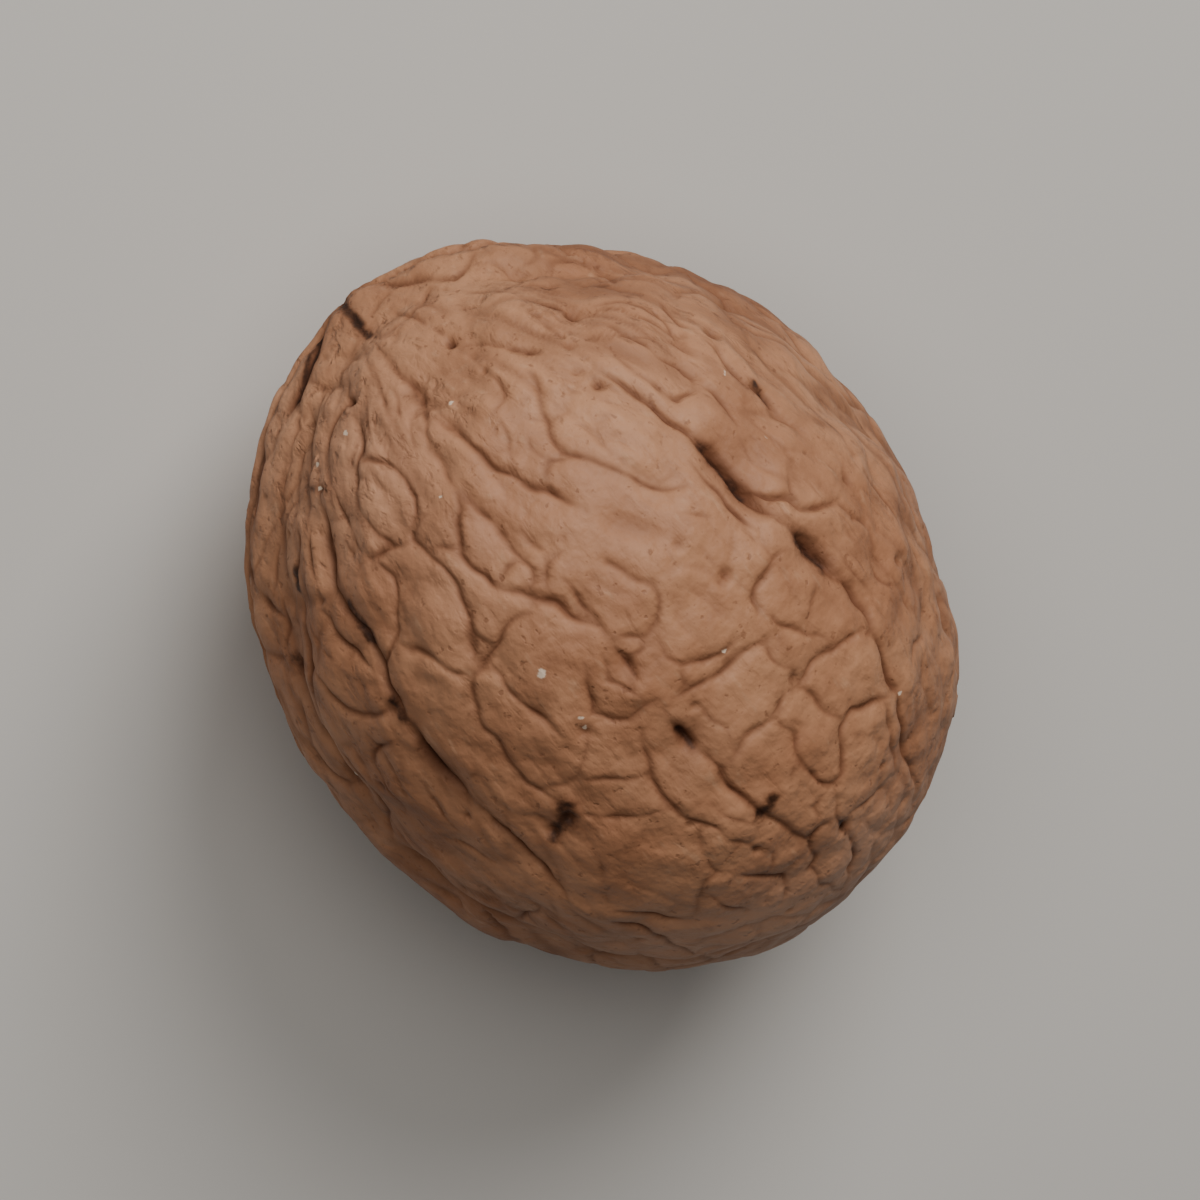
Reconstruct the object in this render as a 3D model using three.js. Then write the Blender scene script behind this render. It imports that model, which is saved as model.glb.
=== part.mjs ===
// A whole walnut in its shell, lying on one cheek with its pointed tip towards -X.
// Millimetres, +Z up. The seam between the two halves of the shell lies level, at
// half the height. The shell is one closed solid: an ellipsoid raised and cut by a
// height that is worked out for every point of its surface.
import * as THREE from "three";
import { mergeVertices } from "three/addons/utils/BufferGeometryUtils.js";

// Driving dimensions
const HALF_LENGTH = 19.4; // centre to either end, without the tip
const HALF_WIDTH = 16.0; // centre to the seam, without its ridge
const HALF_HEIGHT = 15.8; // centre to the top of a cheek
const FLAT_DEPTH = 0.45; // how much of the lower cheek the flat spot takes away
const FLAT_BARE = 3.9; // radius round the flat spot without any relief
const FLAT_CLEAR = 6.5; // radius from which the relief is at its full height

const TIP_HEIGHT = 0.5;
const TIP_RADIUS = 1.6;
const SCAR_DEPTH = 0.35; // dimple where the stem was
const SCAR_RADIUS = 1.8;

const SEAM_RIDGE = 0.8; // height of the ridge along the seam
const SEAM_RIDGE_REACH = 1.7;
const SEAM_CRACK = 0.4; // depth of the line between the two halves
const SEAM_SWAY = 0.35; // how far the seam strays up and down
const SEAM_SWAY_LENGTH = 22;
const SEAM_CLIMB = 0.3; // slope at which the seam climbs on one side of the tip
const SEAM_CLIMB_REACH = 4;
const VALLEY_DEPTH = 0.35; // shallow valley on both sides of the ridge
const VALLEY_PLACE = 3.2; // seam to valley
const VALLEY_SWAY = 0.6; // how far the valley strays from its place
const VALLEY_REACH = 0.8;
const VALLEY_CHANGE = 0.5; // share by which the valley's depth changes
const VALLEY_CHANGE_LENGTH = 9;

const LUMP_HEIGHT = 0.22; // broad unevenness of the whole shell
const LUMP_LENGTH = 13;
const RIPPLE_HEIGHT = 0.1; // finer unevenness
const RIPPLE_LENGTH = 5;

const NET_CELLS = 360; // cells of the net over the whole shell
const NET_STRETCH = 0.6; // below 1 the cells are longer than wide
const NET_DEPTH = 0.6;
const NET_FAINTEST = 0.35; // depth of the net's faintest lines, as a share of the deepest
const NET_MISSING = 0.05; // share of the net's lines that aren't there at all
const NET_WHOLE = 0.45; // drawn number from which a line isn't thinned out any more
const NET_WANDER = 0.55; // how far the lines of the net stray
const NET_WANDER_LENGTH = 6;
const CELL_STRAY_ALONG = 0.05; // how far the cell centres stray, as shares of the half sizes
const CELL_STRAY_ROUND = 0.12;
const TRACED_NET = 0.3; // share of the net that shows between the traced lines
const TRACED_FROM = 0.12; // height, as a share of the half height, at which the traced cheek begins
const TRACED_FULL = 0.42;
const SEAM_NET = 0.4; // share of the net that shows on the seam's ridge
const SEAM_NET_REACH = 1.5;
const FRAY = 0.12; // unsteadiness of every line
const FRAY_LENGTH = 1.7;
const STEADY_SHARE = 0.9; // mean depth of a line that comes and goes
const STEADY_CHANGE = 0.3;
const STEADY_LENGTH = 4; // length over which such a line comes and goes
const END_SHARE = 0.35; // share of a line's depth that is left at its ends
const END_LENGTH = 1.3; // pieces of a line over which it gets its full depth

const PILLOW = 0.3; // share of a line's depth that its soft shoulders have
const PILLOW_REACH = 0.9;
const NARROWEST = 0.38; // half width of the finest line that these facets can hold

const GRID = 31; // squares along each side of the six-sided grid that is blown up to the shell
const GATHER_REACH = 1.1; // facet corners this near to a line move towards it
const GATHER = 0.7; // share of the way that the nearest of them move
const NET_GATHERS = 0.5; // the net's lines gather corners where at least this share of it shows

const HIDDEN_FURROWS = 14; // on the lower cheek and the sides
const HIDDEN_DEPTH = 0.5; // about the depth of a hidden furrow
const HIDDEN_REACH = 0.4;
const HIDDEN_POINTS = 6;
const HIDDEN_BEND = 0.22; // radians that a hidden furrow strays from its course
const HIDDEN_START = -0.75; // where the hidden furrows start, as a share of the half length
const HIDDEN_START_RANGE = 0.8;
const HIDDEN_SPAN = 0.45; // how long they are, as a share of the half length
const HIDDEN_SPAN_RANGE = 0.5;
const HIDDEN_END = 0.93; // how near they come to the stem end, as a share of the half length

const SHELL_COLOUR = "#a87c5e";
const SHELL_ROUGHNESS = 0.6;

// The upper cheek as it is seen from a little towards the tip. Places on it are traced
// in millimetres: along the nut from the tip, and across it from the middle.
const SIGHT = new THREE.Vector3(-0.25, -0.1, 1).normalize();
const SIGHT_DISTANCE = 300;
const TRACE_CENTRE = [19.35, -0.15];
const TRACE_STEP = 1.2; // spacing of the points that a traced line is split into

// Each kind of traced line has a depth, a half width and its lines
const SLOTS = {
  depth: 1.25,
  reach: 0.42,
  lines: [
    [[15.9, 8.85], [17.2, 9.2], [18.6, 9.3], [19.9, 9.2], [21.1, 9.4]],
    [[22.5, 9.65], [23.4, 9.85], [24.6, 9.9], [25.8, 10]],
    [[26.4, -1.15], [27.2, -1.25], [28, -1.15]],
    [[17.9, -11.4], [19.2, -11.8], [20.8, -11.9], [22.5, -11.7]],
  ],
};
const NARROW_SLOTS = {
  depth: 0.7,
  reach: 0.34,
  lines: [
    [[15.4, 12.7], [16.4, 12.95], [17.3, 12.9]],
    [[0.3, -1.1], [0.9, -3], [1.5, -4.6], [2.3, -6.3]],
  ],
};
const FURROWS = {
  depth: 0.65,
  reach: 0.38,
  lines: [
    [[0.5, 1.2], [1.3, 3.2], [2.1, 4.7], [2.2, 6]],
    [[-0.1, -0.4], [0.6, -0.42], [1.3, -0.52]],
    [[9.8, 7.1], [11.6, 7.8], [13.2, 8.25], [14.6, 8.55], [16.2, 8.85]],
    [[19.3, 9.3], [20.2, 9.7], [21.2, 10.4], [22.4, 11], [22.9, 12.4]],
    [[20.9, 9.4], [21.8, 9.4], [22.8, 9.65]],
    [[25.4, 9.9], [27.4, 10], [29, 9.5], [31, 8.8], [32.4, 8.3], [34.6, 7.1], [36.8, 6]],
    [[12.3, 12.3], [14.5, 12.5], [15.7, 12.6]],
    [[17.1, 12.7], [18, 13.05], [19, 13.2]],
    [[2.2, -0.6], [4.2, -0.45], [6.3, -0.85], [7.2, -1.6], [8.6, -1.85], [10, -2]],
    [[6.4, -0.8], [7.2, -0.25], [10, 0.05], [12.4, 0.9], [13.2, 1.5], [15.3, 2.2]],
    [[15.4, -3.4], [16.3, -2.9], [17.4, -1.95], [19.1, -1.6], [20, -1], [21.2, -0.95]],
    [[21.4, -0.95], [22.3, -1], [23.3, -1.15]],
    [[25, -1.1], [26.4, -1.2]],
    [[27.9, -1.2], [29, -0.8], [30.1, -1.1], [31.2, -0.9], [32.4, -0.6], [33.6, -0.2], [35.4, 0.2]],
    [[6.4, -7.7], [8.7, -9.4], [10.4, -10.2], [13.4, -10.3], [15.2, -10.95], [18, -11.3]],
    [[22.4, -11.5], [24.2, -11.45], [25.6, -11.2], [27.2, -11], [29.8, -10.8]],
    [[2.2, -7], [3.8, -8.9], [5.6, -10.9], [7.4, -12.2], [9.6, -13]],
    [[9.2, -11.8], [11.4, -12.8], [13.6, -14], [15, -14.6]],
    [[16.4, -14.8], [19.4, -15], [21.6, -15.8]],
    [[14.2, -9.5], [15.4, -8.6], [17, -8.1], [17.9, -7.5]],
  ],
};
const CREASES = {
  depth: 0.42,
  reach: 0.38,
  lines: [
    [[10, -2], [11.3, -2.55], [12.2, -3.6], [13.4, -4.05], [14.9, -3.6], [15.6, -3.3]],
    [[16.8, 7.9], [18.6, 7.95], [20.4, 8.05], [21.4, 8.25]],
    [[19.6, 8.9], [20.6, 9.3], [21.5, 9.5], [22, 9.9]],
    [[3.8, -3], [5.4, -4.3], [6.5, -5.4], [7.7, -6.4], [9.9, -6.5], [10.5, -5.8]],
    [[10.2, -4], [10.7, -5.35], [12, -5.15], [13.2, -4.95], [14.9, -5.4], [16.2, -6.05], [17.4, -5.75]],
    [[15.4, -5.85], [16.8, -6.4], [17.7, -7.1]],
    [[11.6, -5], [12.1, -4.3], [12.5, -3.8]],
    [[5.7, -6.6], [7, -7.1], [8.5, -7.6], [10, -7.75]],
    [[5.9, -4.9], [6.4, -4.2], [7.5, -3.8], [8.8, -3.7], [9.8, -4.2], [10.3, -5.1]],
    [[10.5, -5.9], [10.1, -7], [10, -8]],
    [[10.2, -7.4], [11.6, -7.4], [13, -8.4], [14.1, -9.4], [14.3, -10.3], [15.1, -10.8]],
    [
      [17.2, -3], [17.3, -5.2], [17.8, -6.6], [18, -7.5], [19.5, -8.5], [21.6, -8.6], [23, -9],
      [24.6, -8.6], [26, -8],
    ],
    [[24.6, -8.4], [25.2, -7.4], [25.1, -6.6], [24.4, -5.4], [23.9, -4.9]],
    [[17.8, -6.35], [19.2, -6.25], [20, -6.5], [21.3, -6.1], [23, -5.9]],
    [
      [21, -2.8], [22.2, -3.3], [23.5, -4], [24.3, -3.1], [24.8, -2.2], [24.6, -1.3], [25.1, -0.2],
      [25.6, 0.9], [25.8, 2], [25.8, 3.4], [26, 5.2],
    ],
    [[25, 4], [25.1, 2.9], [24.5, 1.5], [23.6, 0.8], [22.1, 0.9]],
    [[25.6, 0.9], [24.9, 0.55], [24.2, 0.9]],
    [[17.8, 1.5], [19.1, 1.9], [20.2, 2.6], [21.3, 1.9], [22, 0.9], [21.3, -0.3], [20.7, -1]],
    [[17.2, -0.75], [19.2, -0.85], [21, -0.9]],
    [[13.9, -0.95], [15.3, -0.7]],
    [[16.1, 0], [16, -0.9], [16.6, -1.5], [17.3, -1.8]],
    [[10, -2], [12, -1.75], [14.9, -1.75], [16, -1.8], [16.6, -2.5]],
    [[15, -1.8], [14.9, -2.6], [15.2, -3.4]],
    [[8.2, 4.5], [9.4, 4.2], [10.4, 3.5], [12, 3.25], [13.2, 3.9], [15, 5], [16.6, 5.7], [17.4, 6.8]],
    [[12.5, 3.1], [12.2, 2.4], [12.8, 1.6]],
    [[4.5, 2.7], [5.4, 3.9], [6.8, 4.9], [8, 6]],
    [[1.2, 1.2], [2.5, 2], [4.3, 2.5]],
    [[6.4, 3], [8, 2.9], [8.6, 2]],
    [[4.6, 6.2], [5.9, 7.6], [6.6, 8.2]],
    [[23.1, 8.9], [23.1, 7.7], [23.8, 6.1], [24.7, 5.6]],
    [[25.2, 6.1], [26.5, 6.5], [28.2, 7.7]],
    [[28.6, 9.1], [28.5, 7.6], [28.3, 6.5], [28.8, 5.2], [28.8, 4], [29.1, 3], [29.1, 1.5], [29.5, -0.3]],
    [
      [29.1, 3.1], [31, 3], [31.9, 2.4], [33.2, 2.6], [33.7, 3.3], [33, 4.2], [31.6, 5.4], [31.7, 6.8],
      [32, 8.2],
    ],
    [[28.9, 5.2], [30, 5.1], [31.6, 5.4]],
    [[32.3, 7.5], [33.8, 6.7], [35.3, 6]],
    [[35.6, 5.2], [35.4, 2.7]],
    [[34.1, 2.8], [35, 2.2], [37.2, 1.8], [38.2, 0.3]],
    [[35, 2.1], [35, 0.9], [35.4, 0.2], [36.2, 0], [36.7, -0.7], [38.3, -0.1]],
    [[25, -2.5], [26.6, -3.2], [27.6, -3.85], [29.4, -3.9], [30.7, -3.4], [32, -2.6], [33.8, -2]],
    [[30.8, -3.5], [32.4, -4.25], [33.2, -4.2], [33.2, -5.3], [34.3, -6.5]],
    [[27.2, -4], [26, -6], [25.4, -6.5]],
    [[29.2, -4.2], [28.3, -6], [26.8, -7.6]],
    [[34.1, -3.4], [35.3, -2.5], [36.1, -1.9], [36.8, -2.9]],
    [[31.8, -9.9], [33.5, -8.9], [35.8, -8]],
    [[31.4, -9.2], [33.3, -8], [34.1, -7.2]],
    [[29.1, -12.3], [28.7, -13.9]],
    [[10.2, -11.1], [12.6, -11.35], [14.5, -11.1]],
    [[16.5, -11.4], [16.1, -12.7], [14.6, -13.3], [12.8, -13.2]],
    [[17.9, -12.2], [17.6, -13.4], [18.1, -14]],
    [[1.8, -2.3], [3.3, -3.3], [3.5, -4.9], [4.6, -6.1]],
    [[2.1, -5], [3.9, -6.6], [5, -7.7]],
    [
      [8.9, 9.1], [10.1, 9.6], [11.9, 10.1], [12.8, 10.7], [13.8, 10.7], [14, 9.7], [12.8, 9],
      [11.5, 8.5],
    ],
    [[14, 10.7], [15.2, 11.2], [16.8, 11]],
    [[16.6, 9.7], [16.3, 8.8]],
    [[20.2, 11.5], [21.2, 10.8], [22.1, 10.8]],
    [[25.4, 8.7], [26.4, 7.5]],
    [[23.2, -14], [24.2, -13.2], [26, -12.6]],
    [[23, 12.2], [24.2, 12.5], [25, 12.6]],
    [[21.6, 13.6], [22.3, 13.3], [23.8, 13.1]],
    [[30.9, 11.3], [31, 10.6], [31.5, 9.9]],
  ],
};
const HOLLOWS = {
  depth: 0.25,
  reach: 0.6,
  lines: [
    [[15.2, 2.2], [17, 3.3], [19.4, 4.8]],
    [[12.2, 3.3], [14.6, 4.6], [17.2, 6.5]],
    [[12.6, 13.2], [14.5, 13.5], [16.6, 13.3]],
    [[12.2, -14.1], [14.4, -14.7]],
  ],
};

// Broad hills and hollows of the upper cheek: along, across, radius, height
const BROAD = [
  [5, 10.8, 4.5, -0.7],
  [33.5, 11.5, 4, 0.8],
  [14.8, 13.8, 1.5, -0.2],
  [1, 4.5, 3, 0.45],
  [15, 15.6, 4, 0.4],
  [31.5, -12.5, 3, -0.45],
];

// A number from 0 to 1 that is always the same for the same seed
function draw(seed) {
  const value = Math.sin(seed * 12.9898) * 43758.5453;
  return value - Math.floor(value);
}

function smooth(from, to, value) {
  return THREE.MathUtils.smoothstep(value, from, to);
}

function bell(value, reach) {
  return Math.exp(-((value / reach) ** 2));
}

// Uneven waves through space, from about -1 to 1: the sum of plane waves in drawn directions
const WAVE_COUNT = 7;
function makeWaves(length, seed) {
  const parts = [];
  for (let i = 0; i < WAVE_COUNT; i += 1) {
    const along = 2 * draw(seed + 1.7 * i + 0.5) - 1;
    const turn = 2 * Math.PI * draw(seed + 1.7 * i + 0.87);
    const out = Math.sqrt(1 - along * along);
    const vector = new THREE.Vector3(along, out * Math.cos(turn), out * Math.sin(turn));
    vector.multiplyScalar((2 * Math.PI * (0.7 + 0.6 * draw(seed + 3.1 * i))) / length);
    parts.push([vector, 2 * Math.PI * draw(seed + 5.3 * i + 0.9)]);
  }
  return (point) => {
    let total = 0;
    for (const [vector, phase] of parts) total += Math.sin(vector.dot(point) + phase);
    return total / Math.sqrt(WAVE_COUNT * 2);
  };
}

const lumps = makeWaves(LUMP_LENGTH, 11);
const ripples = makeWaves(RIPPLE_LENGTH, 23);
const seamSway = makeWaves(SEAM_SWAY_LENGTH, 31);
const valleyStrength = makeWaves(VALLEY_CHANGE_LENGTH, 43);
const netWander = [51, 62, 73].map((seed) => makeWaves(NET_WANDER_LENGTH, seed));
const fineWander = [81, 92, 103].map((seed) => makeWaves(FRAY_LENGTH, seed));
const unsteady = makeWaves(STEADY_LENGTH, 113);

const HALVES = new THREE.Vector3(HALF_LENGTH, HALF_WIDTH, HALF_HEIGHT);

function onEllipsoid(direction) {
  return direction.clone().normalize().multiply(HALVES);
}

function ellipsoidNormal(point) {
  return point.clone().divide(HALVES).divide(HALVES).normalize();
}

// A point pushed about by three waves, one for each axis
function strayed(point, waves, distance) {
  const [x, y, z] = waves.map((wave) => wave(point));
  return point.clone().addScaledVector(new THREE.Vector3(x, y, z), distance);
}

// The point of the upper cheek that is seen at a traced place
const SIGHT_RIGHT = new THREE.Vector3(1, 0, 0).addScaledVector(SIGHT, -SIGHT.x).normalize();
const SIGHT_UP = SIGHT.clone().cross(SIGHT_RIGHT);
function onCheek([along, across]) {
  const right = along - TRACE_CENTRE[0];
  const up = across - TRACE_CENTRE[1];
  const inside = 1 - (right / HALF_LENGTH) ** 2 - (up / HALF_WIDTH) ** 2;
  const nearness = (HALF_HEIGHT * Math.sqrt(Math.max(0, inside))) / SIGHT_DISTANCE;
  const point = SIGHT_RIGHT.clone().multiplyScalar(right).addScaledVector(SIGHT_UP, up);
  point.multiplyScalar(1 - nearness).divide(HALVES);
  const ray = SIGHT.clone().divide(HALVES);
  const a = ray.lengthSq();
  const b = ray.dot(point);
  const c = point.lengthSq() - 1;
  const step = (Math.sqrt(Math.max(0, b * b - a * c)) - b) / a;
  return onEllipsoid(point.addScaledVector(ray, step));
}

// A line on the shell: a smooth curve through its places, split into short straight pieces
function makeLine(depth, reach, places) {
  const curve = new THREE.CatmullRomCurve3(places, false, "catmullrom");
  const count = Math.max(2, Math.ceil(curve.getLength() / TRACE_STEP));
  const points = curve.getPoints(count).map((point) => onEllipsoid(point.divide(HALVES)));
  const bounds = new THREE.Sphere().setFromPoints(points);
  return { depth, reach, points, bounds };
}

// A furrow of the lower cheek and the sides, which wanders along the nut
function hiddenFurrow(index) {
  const turn = -Math.PI * ((index + 0.5) / HIDDEN_FURROWS);
  const start = HIDDEN_START + HIDDEN_START_RANGE * draw(index + 0.2);
  const span = HIDDEN_SPAN + HIDDEN_SPAN_RANGE * draw(index + 0.6);
  const places = [];
  for (let i = 0; i < HIDDEN_POINTS; i += 1) {
    const along = Math.min(HIDDEN_END, start + (span * i) / (HIDDEN_POINTS - 1));
    const out = Math.sqrt(1 - along * along);
    const side = turn + HIDDEN_BEND * (draw(index * 7 + i * 1.3) - 0.5);
    places.push(onEllipsoid(new THREE.Vector3(along, out * Math.cos(side), out * Math.sin(side))));
  }
  return makeLine(HIDDEN_DEPTH * (0.9 + draw(index + 0.8)), HIDDEN_REACH, places);
}

const lines = [];
for (const { depth, reach, lines: traced } of [SLOTS, NARROW_SLOTS, FURROWS, CREASES, HOLLOWS]) {
  for (const places of traced) lines.push(makeLine(depth, reach, places.map(onCheek)));
}
for (let i = 0; i < HIDDEN_FURROWS; i += 1) lines.push(hiddenFurrow(i));

const hills = BROAD.map(([along, across, radius, height]) => {
  return { centre: onCheek([along, across]), radius, height };
});

// The net is measured in a space that is squeezed along the nut
function netSpace(point) {
  return new THREE.Vector3(point.x * NET_STRETCH, point.y, point.z);
}

// Centres of the net's cells: a spiral from end to end, each centre then strayed
const GOLDEN_TURN = Math.PI * (3 - Math.sqrt(5));
const cellCentres = [];
for (let i = 0; i < NET_CELLS; i += 1) {
  const along = 1 - (2 * (i + 0.5)) / NET_CELLS;
  const out = Math.sqrt(1 - along * along);
  const centre = new THREE.Vector3(
    along + CELL_STRAY_ALONG * (draw(i + 0.11) - 0.5),
    out * Math.cos(i * GOLDEN_TURN) + CELL_STRAY_ROUND * (draw(i + 0.23) - 0.5),
    out * Math.sin(i * GOLDEN_TURN) + CELL_STRAY_ROUND * (draw(i + 0.31) - 0.5),
  );
  cellCentres.push(netSpace(onEllipsoid(centre)));
}

// Nearest line of the net: the way to the edge between the two nearest cells, and how
// much of the edge's depth it has
function netEdge(point) {
  const place = netSpace(strayed(strayed(point, netWander, NET_WANDER), fineWander, FRAY));
  let first = [Infinity, 0];
  let second = [Infinity, 0];
  cellCentres.forEach((centre, index) => {
    const distance = centre.distanceToSquared(place);
    if (distance < first[0]) {
      second = first;
      first = [distance, index];
    } else if (distance < second[0]) {
      second = [distance, index];
    }
  });
  const across = cellCentres[second[1]].clone().sub(cellCentres[first[1]]);
  const distance = (second[0] - first[0]) / (2 * across.length());
  const drawn = draw(Math.min(first[1], second[1]) * 1.31 + Math.max(first[1], second[1]) * 0.77);
  const strength = smooth(NET_MISSING, NET_WHOLE, drawn) * (NET_FAINTEST + (1 - NET_FAINTEST) * drawn);
  return { distance, toward: across.normalize(), strength };
}

// How far above or below the seam a point lies
function seamPlace(point) {
  const climb = SEAM_CLIMB * Math.max(point.y, 0) * bell(point.x + HALF_LENGTH, SEAM_CLIMB_REACH);
  return point.z - SEAM_SWAY * seamSway(point) - climb;
}

// The traced cheek has less of the net than the rest, and so has the seam
function netShare(point) {
  const traced = smooth(TRACED_FROM, TRACED_FULL, point.z / HALF_HEIGHT);
  const seam = bell(seamPlace(point), SEAM_NET_REACH);
  return (1 - (1 - TRACED_NET) * traced) * (1 - (1 - SEAM_NET) * seam);
}

// Distance to a line, its nearest point, and how much of its depth is left there. Lines
// further away than the limit are left out.
function lineGap(point, line, limit) {
  let nearest = { distance: Infinity, fade: 0 };
  if (line.bounds.distanceToPoint(point) > limit) return nearest;
  const stretch = new THREE.Line3();
  const foot = new THREE.Vector3();
  const last = line.points.length - 1;
  for (let i = 0; i < last; i += 1) {
    stretch.set(line.points[i], line.points[i + 1]);
    const share = stretch.closestPointToPointParameter(point, true);
    stretch.at(share, foot);
    const distance = foot.distanceTo(point);
    if (distance < nearest.distance) {
      const run = Math.min(i + share, last - i - share);
      const fade = Math.min(1, END_SHARE + ((1 - END_SHARE) * run) / END_LENGTH);
      nearest = { distance, foot: foot.clone(), fade };
    }
  }
  return nearest;
}

// Depth of a line's cross-section: a sharp middle with soft shoulders
function groove(distance, reach) {
  const middle = bell(distance, Math.max(reach, NARROWEST));
  return (1 - PILLOW) * middle + PILLOW * bell(distance, PILLOW_REACH);
}

// Depth of the traced lines, the hidden furrows and the net at a point. The slots have
// their whole depth all along, the other lines come and go, and the net leaves room
// beside the lines.
const LINE_LIMIT = 3.5;
const NET_ROOM = 1.1; // the net is whole again this far from a line
function cutDepth(point) {
  const frayed = strayed(point, fineWander, FRAY);
  const steadiness = STEADY_SHARE + STEADY_CHANGE * unsteady(point);
  let cut = 0;
  let nearest = LINE_LIMIT;
  for (const line of lines) {
    const gap = lineGap(frayed, line, LINE_LIMIT);
    const left = gap.fade * (line.depth < NARROW_SLOTS.depth ? steadiness : 1);
    cut = Math.max(cut, line.depth * left * groove(gap.distance, line.reach));
    nearest = Math.min(nearest, gap.distance);
  }
  const edge = netEdge(point);
  const share = netShare(point) * edge.strength * smooth(NET_ROOM / 5, NET_ROOM, nearest);
  return Math.max(cut, NET_DEPTH * share * groove(edge.distance, NARROWEST));
}

// Height of the seam: a ridge with a crack along it, and a valley on either side
function seamHeight(point) {
  const place = seamPlace(point);
  const ridge = SEAM_RIDGE * bell(place, SEAM_RIDGE_REACH);
  const crack = SEAM_CRACK * bell(place, NARROWEST);
  const stray = VALLEY_SWAY * seamSway(point.clone().multiplyScalar(2));
  const valley = VALLEY_DEPTH * (1 - VALLEY_CHANGE + VALLEY_CHANGE * valleyStrength(point));
  return ridge - crack - valley * bell(Math.abs(place) - VALLEY_PLACE - stray, VALLEY_REACH);
}

function endHeight(point) {
  const out = Math.hypot(point.y, point.z);
  if (point.x < 0) return TIP_HEIGHT * bell(out, TIP_RADIUS);
  return -SCAR_DEPTH * bell(out, SCAR_RADIUS);
}

function unevenness(point) {
  let height = LUMP_HEIGHT * lumps(point) + RIPPLE_HEIGHT * ripples(point);
  for (const hill of hills) {
    height += hill.height * bell(hill.centre.distanceTo(point), hill.radius);
  }
  return height;
}

// Height of the shell above the ellipsoid
function shellHeight(point) {
  const bottom = Math.hypot(point.x, point.y);
  const relief = point.z < 0 ? smooth(FLAT_BARE, FLAT_CLEAR, bottom) : 1;
  return relief * (unevenness(point) + seamHeight(point) - cutDepth(point)) + endHeight(point);
}

// Moves a facet corner along the shell towards the nearest line, so that the
// facets fold along the furrows and the net
function gather(point) {
  const frayed = strayed(point, fineWander, FRAY);
  const move = new THREE.Vector3();
  let distance = GATHER_REACH;
  for (const line of lines) {
    const gap = lineGap(frayed, line, distance);
    if (gap.distance < distance) {
      distance = gap.distance;
      move.copy(gap.foot).sub(frayed);
    }
  }
  const edge = netEdge(point);
  if (edge.distance < distance && netShare(point) > NET_GATHERS) {
    distance = edge.distance;
    move.copy(edge.toward).multiplyScalar(distance);
  }
  const seam = seamPlace(point);
  if (Math.abs(seam) < distance) {
    distance = Math.abs(seam);
    move.set(0, 0, -seam);
  }
  const share = GATHER * (1 - distance / GATHER_REACH);
  return onEllipsoid(point.clone().addScaledVector(move, share).divide(HALVES));
}

// Evens out the squares of a cube's face when the cube is blown up to a sphere
function evenOut(value) {
  return Math.tan((value * Math.PI) / 4);
}

function makeShell() {
  const geometry = new THREE.BoxGeometry(2, 2, 2, GRID, GRID, GRID);
  geometry.deleteAttribute("normal");
  geometry.deleteAttribute("uv");
  geometry.clearGroups();
  const shell = mergeVertices(geometry, 1e-5);
  const corners = shell.getAttribute("position");
  const floor = FLAT_DEPTH - HALF_HEIGHT;
  for (let i = 0; i < corners.count; i += 1) {
    const onCube = [corners.getX(i), corners.getY(i), corners.getZ(i)];
    const point = gather(onEllipsoid(new THREE.Vector3(...onCube.map(evenOut))));
    point.addScaledVector(ellipsoidNormal(point), shellHeight(point));
    corners.setXYZ(i, point.x, point.y, Math.max(floor, point.z));
  }
  shell.computeBoundingBox();
  const middle = shell.boundingBox.getCenter(new THREE.Vector3());
  shell.translate(-middle.x, -middle.y, -floor);
  shell.computeVertexNormals();
  return shell;
}

const walnut = new THREE.Mesh(
  makeShell(),
  new THREE.MeshStandardMaterial({ color: SHELL_COLOUR, roughness: SHELL_ROUGHNESS, metalness: 0 }),
);
walnut.name = "walnut";

const group = new THREE.Group();
group.add(walnut);

export default group;
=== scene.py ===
import math
from typing import NamedTuple

import bpy
import numpy as np
from bpy.props import FloatProperty, FloatVectorProperty, IntProperty, PointerProperty
from mathutils import Matrix, Vector


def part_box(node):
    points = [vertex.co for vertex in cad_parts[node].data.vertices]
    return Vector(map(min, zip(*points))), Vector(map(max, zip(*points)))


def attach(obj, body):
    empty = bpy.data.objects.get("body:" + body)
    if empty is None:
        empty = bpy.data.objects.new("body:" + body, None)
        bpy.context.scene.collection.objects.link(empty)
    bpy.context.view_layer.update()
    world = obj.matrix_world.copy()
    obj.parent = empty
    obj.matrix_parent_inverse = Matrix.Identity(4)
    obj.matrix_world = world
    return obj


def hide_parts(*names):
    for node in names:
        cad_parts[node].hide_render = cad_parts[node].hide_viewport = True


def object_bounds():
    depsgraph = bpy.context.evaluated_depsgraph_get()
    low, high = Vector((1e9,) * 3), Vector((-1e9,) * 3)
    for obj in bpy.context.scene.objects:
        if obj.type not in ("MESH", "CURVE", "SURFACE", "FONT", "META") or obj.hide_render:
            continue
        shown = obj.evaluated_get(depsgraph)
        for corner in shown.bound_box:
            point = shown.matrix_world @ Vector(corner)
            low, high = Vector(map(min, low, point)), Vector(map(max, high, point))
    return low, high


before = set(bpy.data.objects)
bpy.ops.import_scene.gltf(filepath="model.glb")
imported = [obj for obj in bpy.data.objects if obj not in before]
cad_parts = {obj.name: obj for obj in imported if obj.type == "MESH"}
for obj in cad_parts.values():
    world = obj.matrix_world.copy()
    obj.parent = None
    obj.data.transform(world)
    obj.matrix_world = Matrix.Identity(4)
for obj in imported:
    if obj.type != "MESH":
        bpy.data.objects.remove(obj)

bl_info = {
    "name": "Walnut",
    "version": (1, 0, 0),
    "blender": (4, 5, 0),
    "location": "View3D > Sidebar > Walnut",
    "description": "Builds a whole walnut in its shell, its finish and a plain stage",
    "category": "Object",
}

CAD_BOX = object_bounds()
SHELL_NODE = "walnut"
SHELL_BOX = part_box(SHELL_NODE)

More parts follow.
